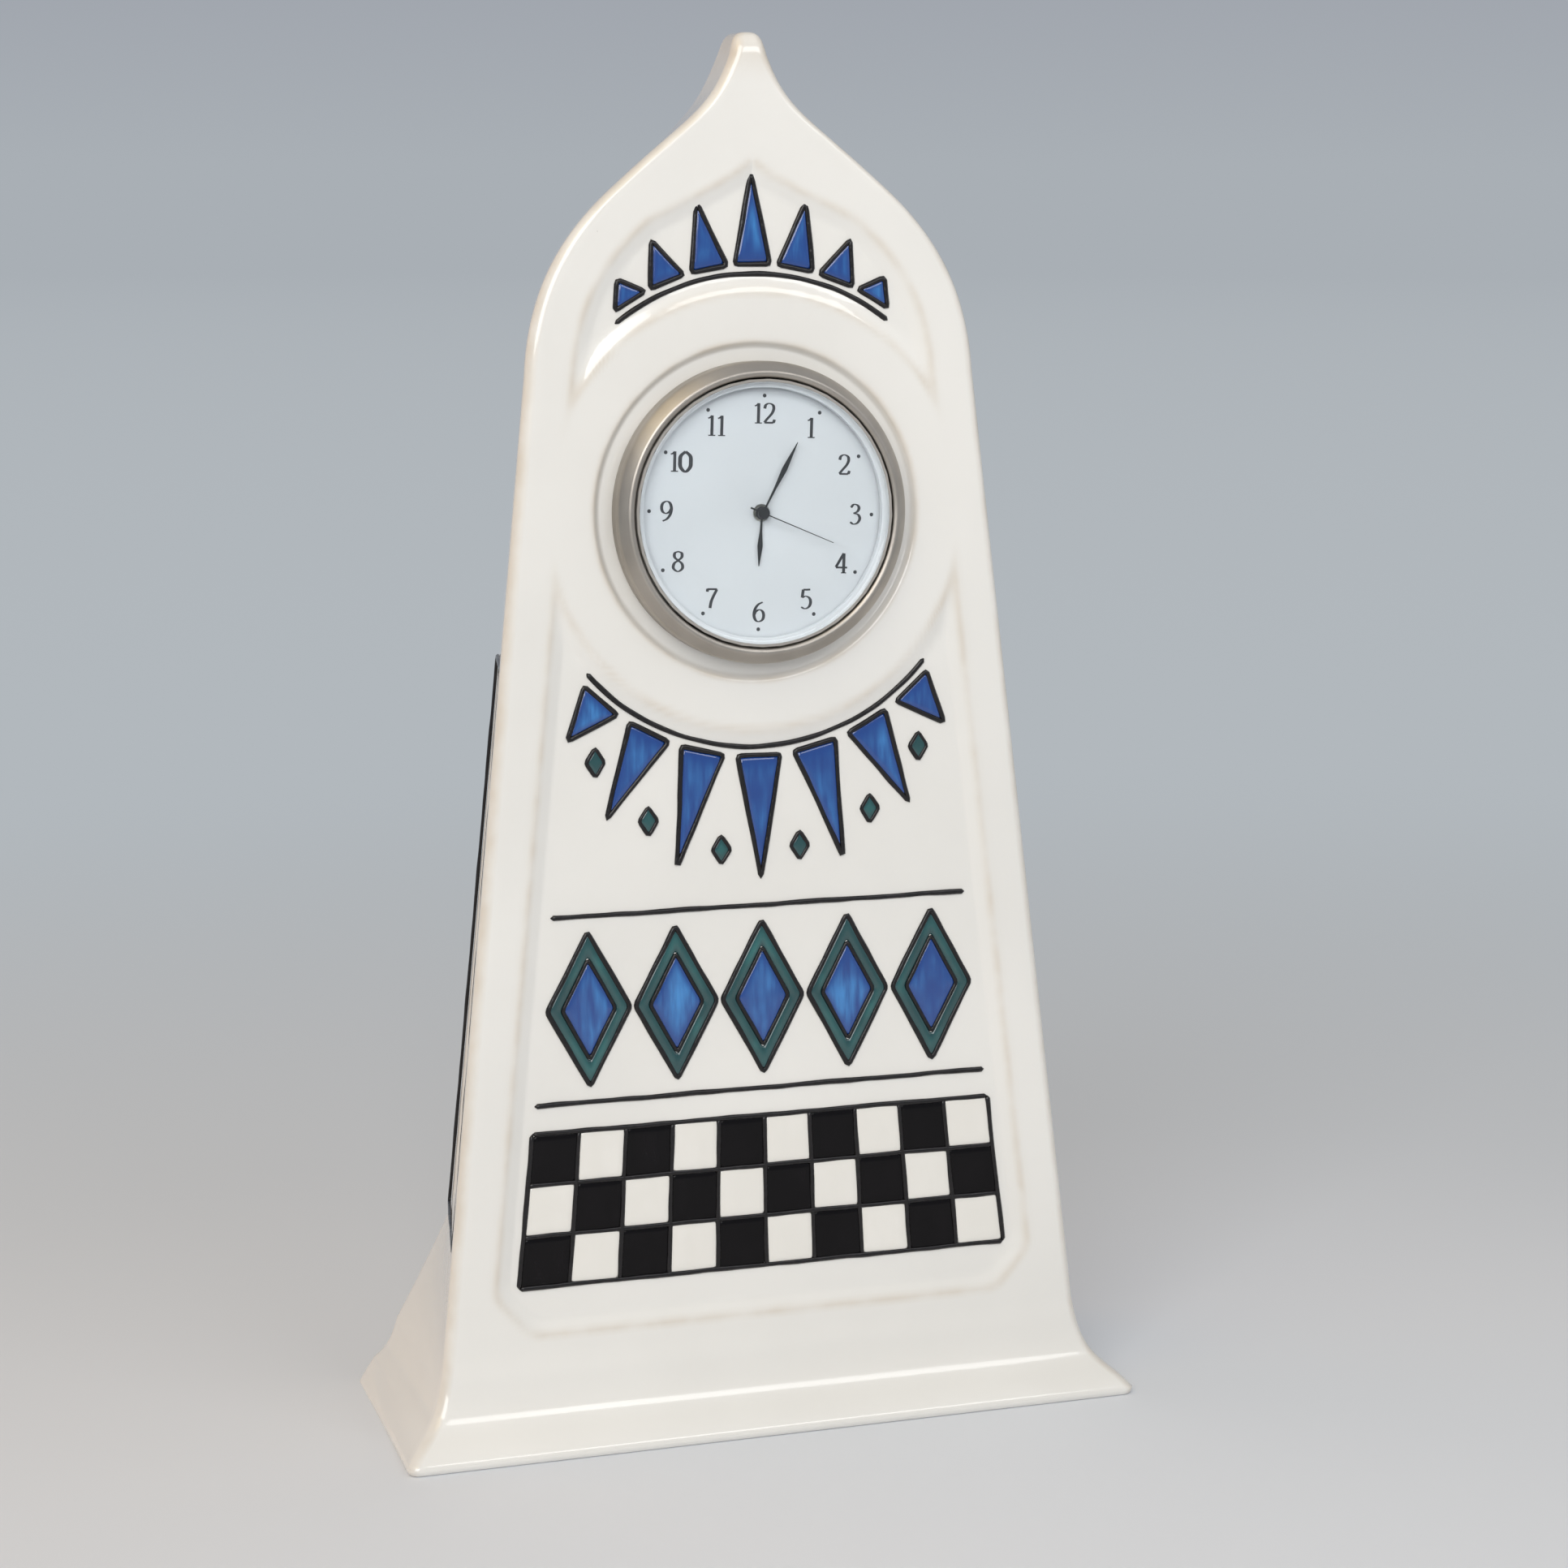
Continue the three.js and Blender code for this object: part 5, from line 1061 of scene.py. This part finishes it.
def decorated_front():
    """The front's two panels: rays stand round the dial on slip arcs, a row of lozenges with teal borders and blue
    middles lies under them, and a check band of black and cream runs along the foot."""
    lines, blues, teals, blacks, whites = (Shape() for _ in range(5))

    def up_at(z):
        return (z - DIAL_HEIGHT) / math.cos(face_lean)

    def band_half(up):
        return side_at(DIAL_HEIGHT + up) - PANEL_MARGIN - PANEL_BEVEL - BAND_INSET

    def both_ways(middle, reach, spread):
        return [(middle + sign * angle, tip, spread) for angle, tip in reach.items()
                for sign in ((1, -1) if angle else (1,))]

    seed = 0
    for angle, tip, spread in both_ways(0, CROWN, CROWN_SPREAD) + both_ways(180, SKIRT, SKIRT_SPREAD):
        seed += 1
        base = ARC_RADIUS + RAY_LIFT
        pipe_line(lines, front_face, rounded(ray(angle, base, tip, spread), RAY_CORNER), seed, True)
        pool(blues, front_face, rounded(ray(angle, base, tip, spread, RAY_POOL_INSET), RAY_POOL_CORNER))
    for ends, arc_seed in zip((CROWN_ARC, SKIRT_ARC), ARC_SEEDS):
        pipe_line(lines, front_face, circle_run(ARC_RADIUS - ARC_INSET, *ends), arc_seed)
    for angle, radius in DROPS:
        seed += 1
        a = math.radians(angle)
        drop = rounded(lozenge(radius * math.sin(a), radius * math.cos(a), DROP_HALF_WIDTH, DROP_HALF_HEIGHT),
                       DROP_CORNER)
        pipe_line(lines, front_face, drop, seed, True, FINE_LINE)
        pool(teals, front_face, drop)

    for i in range(-2, 3):
        seed += 1
        whole = (i * ROW_PITCH, up_at(ROW_HEIGHT), ROW_HALF_WIDTH, ROW_HALF_HEIGHT)
        bordered_lozenge(front_face, whole, ROW_BORDER, ROW_UNDER, (seed, seed + BORDER_SEED), FINE_LINE,
                         lines, blues, teals)
    for z in (ROW_HEIGHT - ROW_HALF_HEIGHT - ROW_GAP, ROW_HEIGHT + ROW_HALF_HEIGHT + ROW_GAP):
        seed += 1
        reach = band_half(up_at(z))
        pipe_line(lines, front_face, [(-reach, up_at(z)), (reach, up_at(z))], seed)

    def corner(i, j):
        up = up_at(CHECK_LOW + (CHECK_HIGH - CHECK_LOW) * j / CHECK_ROWS)
        return np.array([(2 * i / CHECK_COLUMNS - 1) * band_half(up), up])

    for j in range(CHECK_ROWS + 1):
        pipe_line(lines, front_face, [corner(0, j), corner(CHECK_COLUMNS, j)], CHECK_ROW_SEED + j)
    for i in range(CHECK_COLUMNS + 1):
        pipe_line(lines, front_face, [corner(i, 0), corner(i, CHECK_ROWS)], CHECK_COLUMN_SEED + i)
    for j in range(CHECK_ROWS):
        for i in range(CHECK_COLUMNS):
            cell = np.array([corner(i, j), corner(i + 1, j), corner(i + 1, j + 1), corner(i, j + 1)])
            centre = cell.mean(0)
            cell = centre + (cell - centre) * CHECK_FILL
            pool(blacks if (i + j) % 2 == 0 else whites, front_face, rounded(cell, CELL_CORNER))
    lines.build("front_slip_lines", [slip], "case")
    blues.build("front_blue_glaze", [blue], "case", value_name="rim")
    teals.build("front_teal_glaze", [teal], "case", value_name="rim")
    blacks.build("front_black_glaze", [black], "case", value_name="rim")
    whites.build("front_cream_glaze", [white], "case", value_name="rim")


def decorated_sides():
    """Each side panel: a slip frame on the ridge round it, and lozenges that narrow with the case."""
    lines, blues, teals = Shape(), Shape(), Shape()
    top = SIDE_PANEL_TOP - SIDE_PANEL_BOTTOM
    for sign, face in side_faces.items():
        low_half, high_half = (side_panel_half(up) + SIDE_FRAME for up in (-SIDE_FRAME, top + SIDE_FRAME))
        outline = [(-low_half, -SIDE_FRAME), (low_half, -SIDE_FRAME), (high_half, top + SIDE_FRAME),
                   (-high_half, top + SIDE_FRAME)]
        pipe_line(lines, face, rounded(outline, SIDE_FRAME_CORNER), FRAME_SEED + sign, True, floor=0)
        for i, (up, half_height, half_width) in enumerate(SIDE_LOZENGES):
            bordered_lozenge(face, (0, up, half_width, half_height), SIDE_BORDER * half_width, UNDER_LINE,
                             (SIDE_SEED + i, SIDE_BORDER_SEED + i), FINEST_LINE, lines, blues, teals)
    lines.build("side_slip_lines", [slip], "case")
    blues.build("side_blue_glaze", [blue], "case", value_name="rim")
    teals.build("side_teal_glaze", [teal], "case", value_name="rim")


decorated_front()
decorated_sides()


# The insert's front.

BEZEL_STEPS, TURNED_STEPS = 192, 128
BEZEL_LIP = 0.95
BEZEL_FOOT = 0.4
CRYSTAL_EDGE = 0.2
BORE_MIDDLE = 2.4


def turned(shape, profile, steps):
    """A profile of (radius, height) points spun about the dial's axis. Where it starts and ends on the axis, its
    poles are closed with fans, and otherwise it closes on itself."""
    profile = np.array(profile, float)
    solid = profile[0, 0] == 0
    angle = np.linspace(0, 2 * math.pi, steps + 1)[:-1]
    used = profile[1:-1] if solid else np.concatenate([profile, profile[:1]])
    points = insert_face.lay(np.outer(used[:, 0], np.cos(angle)), np.outer(used[:, 0], np.sin(angle)),
                             np.repeat(used[:, 1:], steps, 1))
    numbers = shape.add(points)
    shape.weave(numbers)
    if solid:
        for end in (0, -1):
            tip = shape.add(insert_face.lay(0.0, 0.0, profile[end, 1])[None])[0]
            shape.join(fan(numbers[end], tip))


def insert_front():
    """Bezel, crystal and spacer, each turned from its profile."""
    bezel = Shape()
    lip = (BEZEL_BORE + BEZEL_LIP, BEZEL_PROUD)
    crown = rounded([(BEZEL_RADIUS, 1.6), (BEZEL_RADIUS, BEZEL_EDGE + 0.2), lip, (BEZEL_BORE, CRYSTAL_HIGH - 0.3)], 0.5)
    profile = [(BEZEL_FLANGE, BEZEL_LOW), (BEZEL_RADIUS - BEZEL_FOOT, BEZEL_LOW),
               (BEZEL_RADIUS - 0.1, BEZEL_LOW + 0.12), (BEZEL_RADIUS, BEZEL_LOW + BEZEL_FOOT)] + crown.tolist()
    profile += [(BEZEL_BORE, BORE_MIDDLE), (BEZEL_BORE, FLANGE_TOP), (BEZEL_FLANGE, FLANGE_TOP)]
    turned(bezel, profile, BEZEL_STEPS)
    bezel.build("bezel_ring", [nickel], "insert", "satin_nickel", ["bezel"])
    crystal = Shape()
    turned(crystal, [(0, CRYSTAL_LOW), (CRYSTAL_RADIUS - 1, CRYSTAL_LOW), (CRYSTAL_RADIUS - 0.03, CRYSTAL_LOW),
                     (CRYSTAL_RADIUS, CRYSTAL_LOW + 0.03), (CRYSTAL_RADIUS, CRYSTAL_HIGH - 0.18),
                     (CRYSTAL_RADIUS - 0.03, CRYSTAL_HIGH - 0.15), (CRYSTAL_RADIUS - 0.15, CRYSTAL_HIGH - 0.02),
                     (CRYSTAL_RADIUS - CRYSTAL_EDGE, CRYSTAL_HIGH), (CRYSTAL_RADIUS - 1, CRYSTAL_HIGH),
                     (0, CRYSTAL_HIGH)], TURNED_STEPS)
    crystal.build("crystal_glass", [glass], "insert", "crystal_glass", ["crystal"])
    spacer = Shape()
    turned(spacer, rounded([(SPACER_INNER, SPACER_LOW), (SPACER_OUTER, SPACER_LOW), (SPACER_OUTER, SPACER_HIGH),
                            (SPACER_INNER, SPACER_HIGH)], 0.15), TURNED_STEPS)
    spacer.build("spacer_ring", [lacquer], "insert", "dial_white", ["dial_spacer"])


insert_front()

# Strokes of each digit, in its own height: whether a level stroke is drawn bold, and the points it runs through.
DIGITS = {
    "0": [(1, [(0.26, 1.0), (0.05, 0.78), (0.02, 0.5), (0.05, 0.22), (0.26, 0.0), (0.47, 0.22), (0.5, 0.5),
               (0.47, 0.78), (0.26, 1.0)])],
    "1": [(0, [(0.22, 0.0), (0.22, 0.5), (0.22, 1.0)]), (0, [(0.22, 0.98), (0.14, 0.9), (0.04, 0.86)]),
          (0, [(0.06, 0.015), (0.22, 0.015), (0.38, 0.015)])],
    "2": [(0, [(0.05, 0.74), (0.1, 0.92), (0.25, 1.0), (0.42, 0.92), (0.46, 0.73), (0.38, 0.5), (0.2, 0.26),
               (0.05, 0.05)]), (1, [(0.05, 0.04), (0.26, 0.04), (0.46, 0.04)]), (0, [(0.46, 0.04), (0.51, 0.2)])],
    "3": [(0, [(0.06, 0.84), (0.2, 1.0), (0.38, 0.94), (0.43, 0.78), (0.34, 0.62), (0.18, 0.55)]),
          (0, [(0.18, 0.55), (0.4, 0.48), (0.48, 0.28), (0.38, 0.07), (0.2, 0.0), (0.04, 0.1)])],
    "4": [(0, [(0.37, 1.0), (0.2, 0.66), (0.02, 0.3)]), (1, [(0.02, 0.28), (0.28, 0.28), (0.54, 0.28)]),
          (0, [(0.38, 1.0), (0.38, 0.5), (0.38, 0.0)]), (0, [(0.26, 0.012), (0.38, 0.012), (0.5, 0.012)])],
    "5": [(1, [(0.12, 0.96), (0.28, 0.96), (0.44, 0.97)]), (0, [(0.12, 0.97), (0.1, 0.76), (0.08, 0.56)]),
          (0, [(0.08, 0.56), (0.24, 0.63), (0.41, 0.54), (0.47, 0.33), (0.4, 0.1), (0.22, 0.0), (0.04, 0.08)])],
    "6": [(0, [(0.42, 0.98), (0.22, 0.86), (0.08, 0.62), (0.04, 0.32), (0.12, 0.07), (0.27, 0.0), (0.43, 0.1),
               (0.48, 0.32), (0.42, 0.52), (0.27, 0.6), (0.12, 0.5), (0.05, 0.36)])],
    "7": [(1, [(0.04, 0.95), (0.26, 0.95), (0.48, 0.95)]), (0, [(0.05, 0.97), (0.04, 0.82)]),
          (0, [(0.47, 0.94), (0.32, 0.6), (0.22, 0.3), (0.18, 0.0)])],
    "8": [(0, [(0.26, 1.0), (0.11, 0.92), (0.1, 0.72), (0.26, 0.55), (0.43, 0.4), (0.46, 0.16), (0.26, 0.0),
               (0.06, 0.16), (0.09, 0.4), (0.26, 0.55), (0.42, 0.72), (0.41, 0.92), (0.26, 1.0)])],
}
DIGITS["9"] = [(bold, [(0.52 - x, 1 - y) for x, y in points]) for bold, points in DIGITS["6"]]
DIGIT_ADVANCE = {"1": 0.44}
USUAL_ADVANCE = 0.56
PEN_START = 0.03
HAIRLINE, BOLD_EXTRA, STEM_EXTRA = 0.028, 0.02, 0.04
NUMERAL_HEIGHT = 3.1
NUMERAL_WIDTH = 3.6
NUMERAL_RADIUS = 15.4
DOT_RADIUS = 18.15
DOT_SIZE = 0.3
PRINT_LIFT = 0.012


def smooth_run(points, steps=8):
    """A smooth curve through points: between each pair, a cubic whose directions come from their neighbours."""
    p = np.array(points, float)
    if len(p) < 3:
        return p
    ahead = np.gradient(p, axis=0)
    t = np.linspace(0, 1, steps + 1)[:-1, None]
    runs = [(2 * t**3 - 3 * t**2 + 1) * a + (t**3 - 2 * t**2 + t) * da + (3 * t**2 - 2 * t**3) * b + (t**3 - t**2) * db
            for a, b, da, db in zip(p[:-1], p[1:], ahead[:-1], ahead[1:])]
    return np.concatenate(runs + [p[-1:]])


def dial_face():
    """The dial: a lacquered disc with a bore, and hour numerals and dots printed on it. Each stroke is a ribbon,
    broad where it runs up or down and fine where it runs across, as a broad pen draws it."""
    disc = Shape()
    turned(disc, rounded([(DIAL_BORE, DIAL_LOW), (DIAL_RADIUS, DIAL_LOW), (DIAL_RADIUS, DIAL_HIGH),
                          (DIAL_BORE, DIAL_HIGH)], 0.06, 3), TURNED_STEPS)
    disc.build("dial_face", [lacquer], "insert", "dial_white", ["dial"])
    printed = Shape()
    top = DIAL_HIGH + PRINT_LIFT
    for hour in range(1, 13):
        a = math.radians(30 * hour)
        text = str(hour)
        widths = [DIGIT_ADVANCE.get(c, USUAL_ADVANCE) for c in text]
        pen = -sum(widths) / 2 + PEN_START
        for c, advance in zip(text, widths):
            for bold, stroke in DIGITS[c]:
                run = smooth_run(stroke)
                along = np.gradient(run, axis=0)
                along /= np.hypot(*along.T)[:, None]
                half = HAIRLINE + (BOLD_EXTRA if bold else 0) + STEM_EXTRA * np.abs(along[:, 1]) ** 1.5
                square = np.stack([-along[:, 1], along[:, 0]], 1) * half[:, None]
                sides = np.stack([run - square, run + square])
                x = (sides[..., 0] + pen) * NUMERAL_WIDTH + NUMERAL_RADIUS * math.sin(a)
                y = (sides[..., 1] - 0.5) * NUMERAL_HEIGHT + NUMERAL_RADIUS * math.cos(a)
                printed.weave(printed.add(insert_face.lay(x, y, top)), closed=False)
            pen += advance
        turn = np.linspace(0, 2 * math.pi, 17)[:-1]
        ring = insert_face.lay(DOT_RADIUS * math.sin(a) + DOT_SIZE * np.cos(turn),
                               DOT_RADIUS * math.cos(a) + DOT_SIZE * np.sin(turn), top)
        dot = printed.add(ring)
        printed.join(fan(dot, printed.add(ring.mean(0)[None])[0]))
    piece = printed.build("dial_print", [ink], "insert", smooth=False)
    thick = piece.modifiers.new("ink", "SOLIDIFY")
    thick.thickness = PRINT_LIFT * MM
    thick.offset = 0
    return piece


dial_face()


# Finishes of the pieces that are shown as they were packed.
FINISHES = {
    rubber: ["grip_ring"],
    seal: ["crystal_gasket"],
    pressed: ["insert_cup", "rear_cover", "battery_cover"],
    bright: ["rear_screw_1", "rear_screw_2", "rear_screw_3", "bridge_screw_1", "bridge_screw_2", "bridge_screw_3",
             "coil_core", "stator", "battery", "contact_negative", "contact_positive", "quartz_crystal_can",
             "setting_stem", "rotor_pinion"],
    brass: ["main_plate", "train_bridge", "cannon_pinion", "centre_wheel"],
    nylon: ["hour_wheel", "minute_wheel", "second_wheel", "third_wheel", "intermediate_wheel"],
    dark_plastic: ["chip", "setting_knob"],
    enamel: ["hour_hand", "minute_hand", "second_hand"],
    copper: ["coil"],
    board: ["circuit_board"],
    magnet: ["rotor_magnet"],
}
for material, names in FINISHES.items():
    for name in names:
        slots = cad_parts[name].data.materials
        slots.clear()
        slots.append(material)


# Floor, light and camera.

FLOOR_NEAR = paint("#d6d6d7")
BACKDROP_LOW = paint("#b2b8bd")
BACKDROP_MIDDLE = paint("#a9afb5")
BACKDROP_HIGH = paint("#a1a6ae")
WORLD_STRENGTH = 0.33
FLOOR_SIDES = 96
FLOOR_RINGS = (0.001, 120, 300, 600, 1200, 2500, 6000)

# Distances in metres over which the floor's tone goes from near to low and on to middle, and over which its
# shading gives way to the backdrop's glow, from a share at the foot.
NEAR_FADE, FAR_FADE, GLOW_FADE, GLOW_AT_FOOT = (0.2, 0.36), (0.9, 6.0), (0.2, 0.8), 0.15


def pale_floor():
    """A wide pale floor, level with the foot, that takes the backdrop's tone with distance."""
    angle = np.linspace(0, 2 * math.pi, FLOOR_SIDES + 1)[:-1]
    points = np.stack([np.stack([r * np.cos(angle), r * np.sin(angle), 0 * angle], 1) for r in FLOOR_RINGS])
    mesh = bpy.data.meshes.new("floor")
    cells = cells_between(len(FLOOR_RINGS), FLOOR_SIDES)
    mesh.from_pydata((points.reshape(-1, 3) * MM).tolist(), [], cells.tolist())
    floor = bpy.data.objects.new("floor", mesh)
    bpy.context.scene.collection.objects.link(floor)
    material, tree, shader = new_material("pale_painted_floor")
    settle(tree, shader, {"Base Color": paint("#dfe2e7"), "Roughness": 0.75, "Specular IOR Level": 0.2})
    here = add(tree, "VectorMath", {0: add(tree, "TexCoord").outputs["Object"], 1: (0, 0.2, 0)}).outputs[0]
    away = add(tree, "VectorMath", {0: here}, operation="LENGTH").outputs["Value"]
    near = add(tree, "MapRange", {0: away, 1: NEAR_FADE[0], 2: NEAR_FADE[1]}, interpolation_type="SMOOTHSTEP")
    far = add(tree, "MapRange", {0: away, 1: FAR_FADE[0], 2: FAR_FADE[1]})
    tone = add(tree, "Mix", {0: near.outputs[0], 6: FLOOR_NEAR, 7: BACKDROP_LOW}, data_type="RGBA").outputs[2]
    tone = add(tree, "Mix", {0: far.outputs[0], 6: tone, 7: BACKDROP_MIDDLE}, data_type="RGBA").outputs[2]
    glow = add(tree, "Emission", {0: tone})
    path = add(tree, "LightPath").outputs
    seen = add(tree, "Math", {0: path["Is Camera Ray"], 1: path["Is Glossy Ray"]}, operation="MAXIMUM").outputs[0]
    seen = add(tree, "Math", {0: seen, 1: path["Is Transmission Ray"]}, operation="MAXIMUM").outputs[0]
    lit = add(tree, "MapRange", {0: away, 1: GLOW_FADE[0], 2: GLOW_FADE[1], 3: GLOW_AT_FOOT, 4: 1.0},
              interpolation_type="SMOOTHSTEP").outputs[0]
    share = add(tree, "Math", {0: lit, 1: seen}, operation="MULTIPLY").outputs[0]
    mixed = add(tree, "MixShader", {0: share, 1: shader.outputs[0], 2: glow.outputs[0]})
    output = next(n for n in tree.nodes if n.type == "OUTPUT_MATERIAL")
    tree.links.new(mixed.outputs[0], output.inputs[0])
    mesh.materials.append(material)


def backdrop():
    """The world: an even white light on the object, and a pale blue-grey that deepens upwards where it is seen."""
    world = bpy.data.worlds.new("studio")
    bpy.context.scene.world = world
    world.use_nodes = True
    tree = world.node_tree
    tree.nodes.clear()
    height = add(tree, "SeparateXYZ", {0: add(tree, "TexCoord").outputs["Generated"]}).outputs[2]
    rise = add(tree, "MapRange", {0: height, 1: 0.0, 2: 0.05}).outputs[0]
    tone = add(tree, "Mix", {0: rise, 6: BACKDROP_MIDDLE, 7: BACKDROP_HIGH}, data_type="RGBA").outputs[2]
    shown = add(tree, "Background", {0: tone, 1: 1.0})
    light = add(tree, "Background", {0: (1, 1, 1, 1), 1: WORLD_STRENGTH})
    path = add(tree, "LightPath").outputs
    seen = add(tree, "Math", {0: path["Is Camera Ray"], 1: path["Is Transmission Ray"]}, operation="MAXIMUM").outputs[0]
    seen = add(tree, "Math", {0: seen, 1: path["Is Glossy Ray"]}, operation="MAXIMUM").outputs[0]
    mixed = add(tree, "MixShader", {0: seen, 1: light.outputs[0], 2: shown.outputs[0]})
    add(tree, "OutputWorld", {0: mixed.outputs[0]})


def softbox(name, place_mm, target_mm, size_mm, power, colour="#ffffff", mirrored=True):
    """A rectangular soft light that faces a point, mirrored in glossy finishes or only lighting them."""
    light = bpy.data.lights.new(name, "AREA")
    light.shape = "RECTANGLE"
    light.size, light.size_y = size_mm[0] * MM, size_mm[1] * MM
    light.energy = power
    light.color = paint(colour)[:3]
    lamp = bpy.data.objects.new(name, light)
    lamp.location = Vector(place_mm) * MM
    lamp.rotation_euler = (Vector(target_mm) - Vector(place_mm)).to_track_quat("-Z", "Y").to_euler()
    lamp.visible_glossy = mirrored
    bpy.context.scene.collection.objects.link(lamp)


backdrop()
pale_floor()
softbox("key", (-420, -760, 600), (0, 0, 100), (640, 640), 4.9)
softbox("strip", (112, -260, 340), (40, -25, 10), (200, 100), 0.2)
softbox("fill", (700, -300, 420), (0, 0, 110), (700, 700), 0.52)
softbox("warm", (-760, 420, 300), (0, 0, 80), (700, 500), 1.4, "#ffbe6c", mirrored=False)
softbox("glint", (-400, -210, 730), (0, 0, 140), (420, 420), 0.6, "#ffdf90")
softbox("overhead", (0, -250, 900), (0, 0, 120), (800, 600), 0.3)

# The photograph's camera, fitted to the outline, the dial and the foot.
CAMERA_TARGET = (6.92, -1.1, 101.66)
CAMERA_DISTANCE = 549.95
CAMERA_YAW, CAMERA_PITCH, CAMERA_ROLL = (math.radians(a) for a in (17.973, 10.315, 0.105))
SENSOR = 36
LENS = 78.31

camera_data = bpy.data.cameras.new("camera")
camera_data.sensor_width = SENSOR
camera_data.lens = LENS
camera_data.clip_start, camera_data.clip_end = 0.05, 50
camera = bpy.data.objects.new("camera", camera_data)
bpy.context.scene.collection.objects.link(camera)
ahead = Vector((math.sin(CAMERA_YAW) * math.cos(CAMERA_PITCH), math.cos(CAMERA_YAW) * math.cos(CAMERA_PITCH),
                -math.sin(CAMERA_PITCH)))
aim = ahead.to_track_quat("-Z", "Y").to_matrix().to_4x4() @ Matrix.Rotation(CAMERA_ROLL, 4, "Z")
camera.matrix_world = Matrix.Translation((Vector(CAMERA_TARGET) - ahead * CAMERA_DISTANCE) * MM) @ aim
bpy.context.scene.camera = camera
bpy.context.scene.view_settings.view_transform = "Standard"
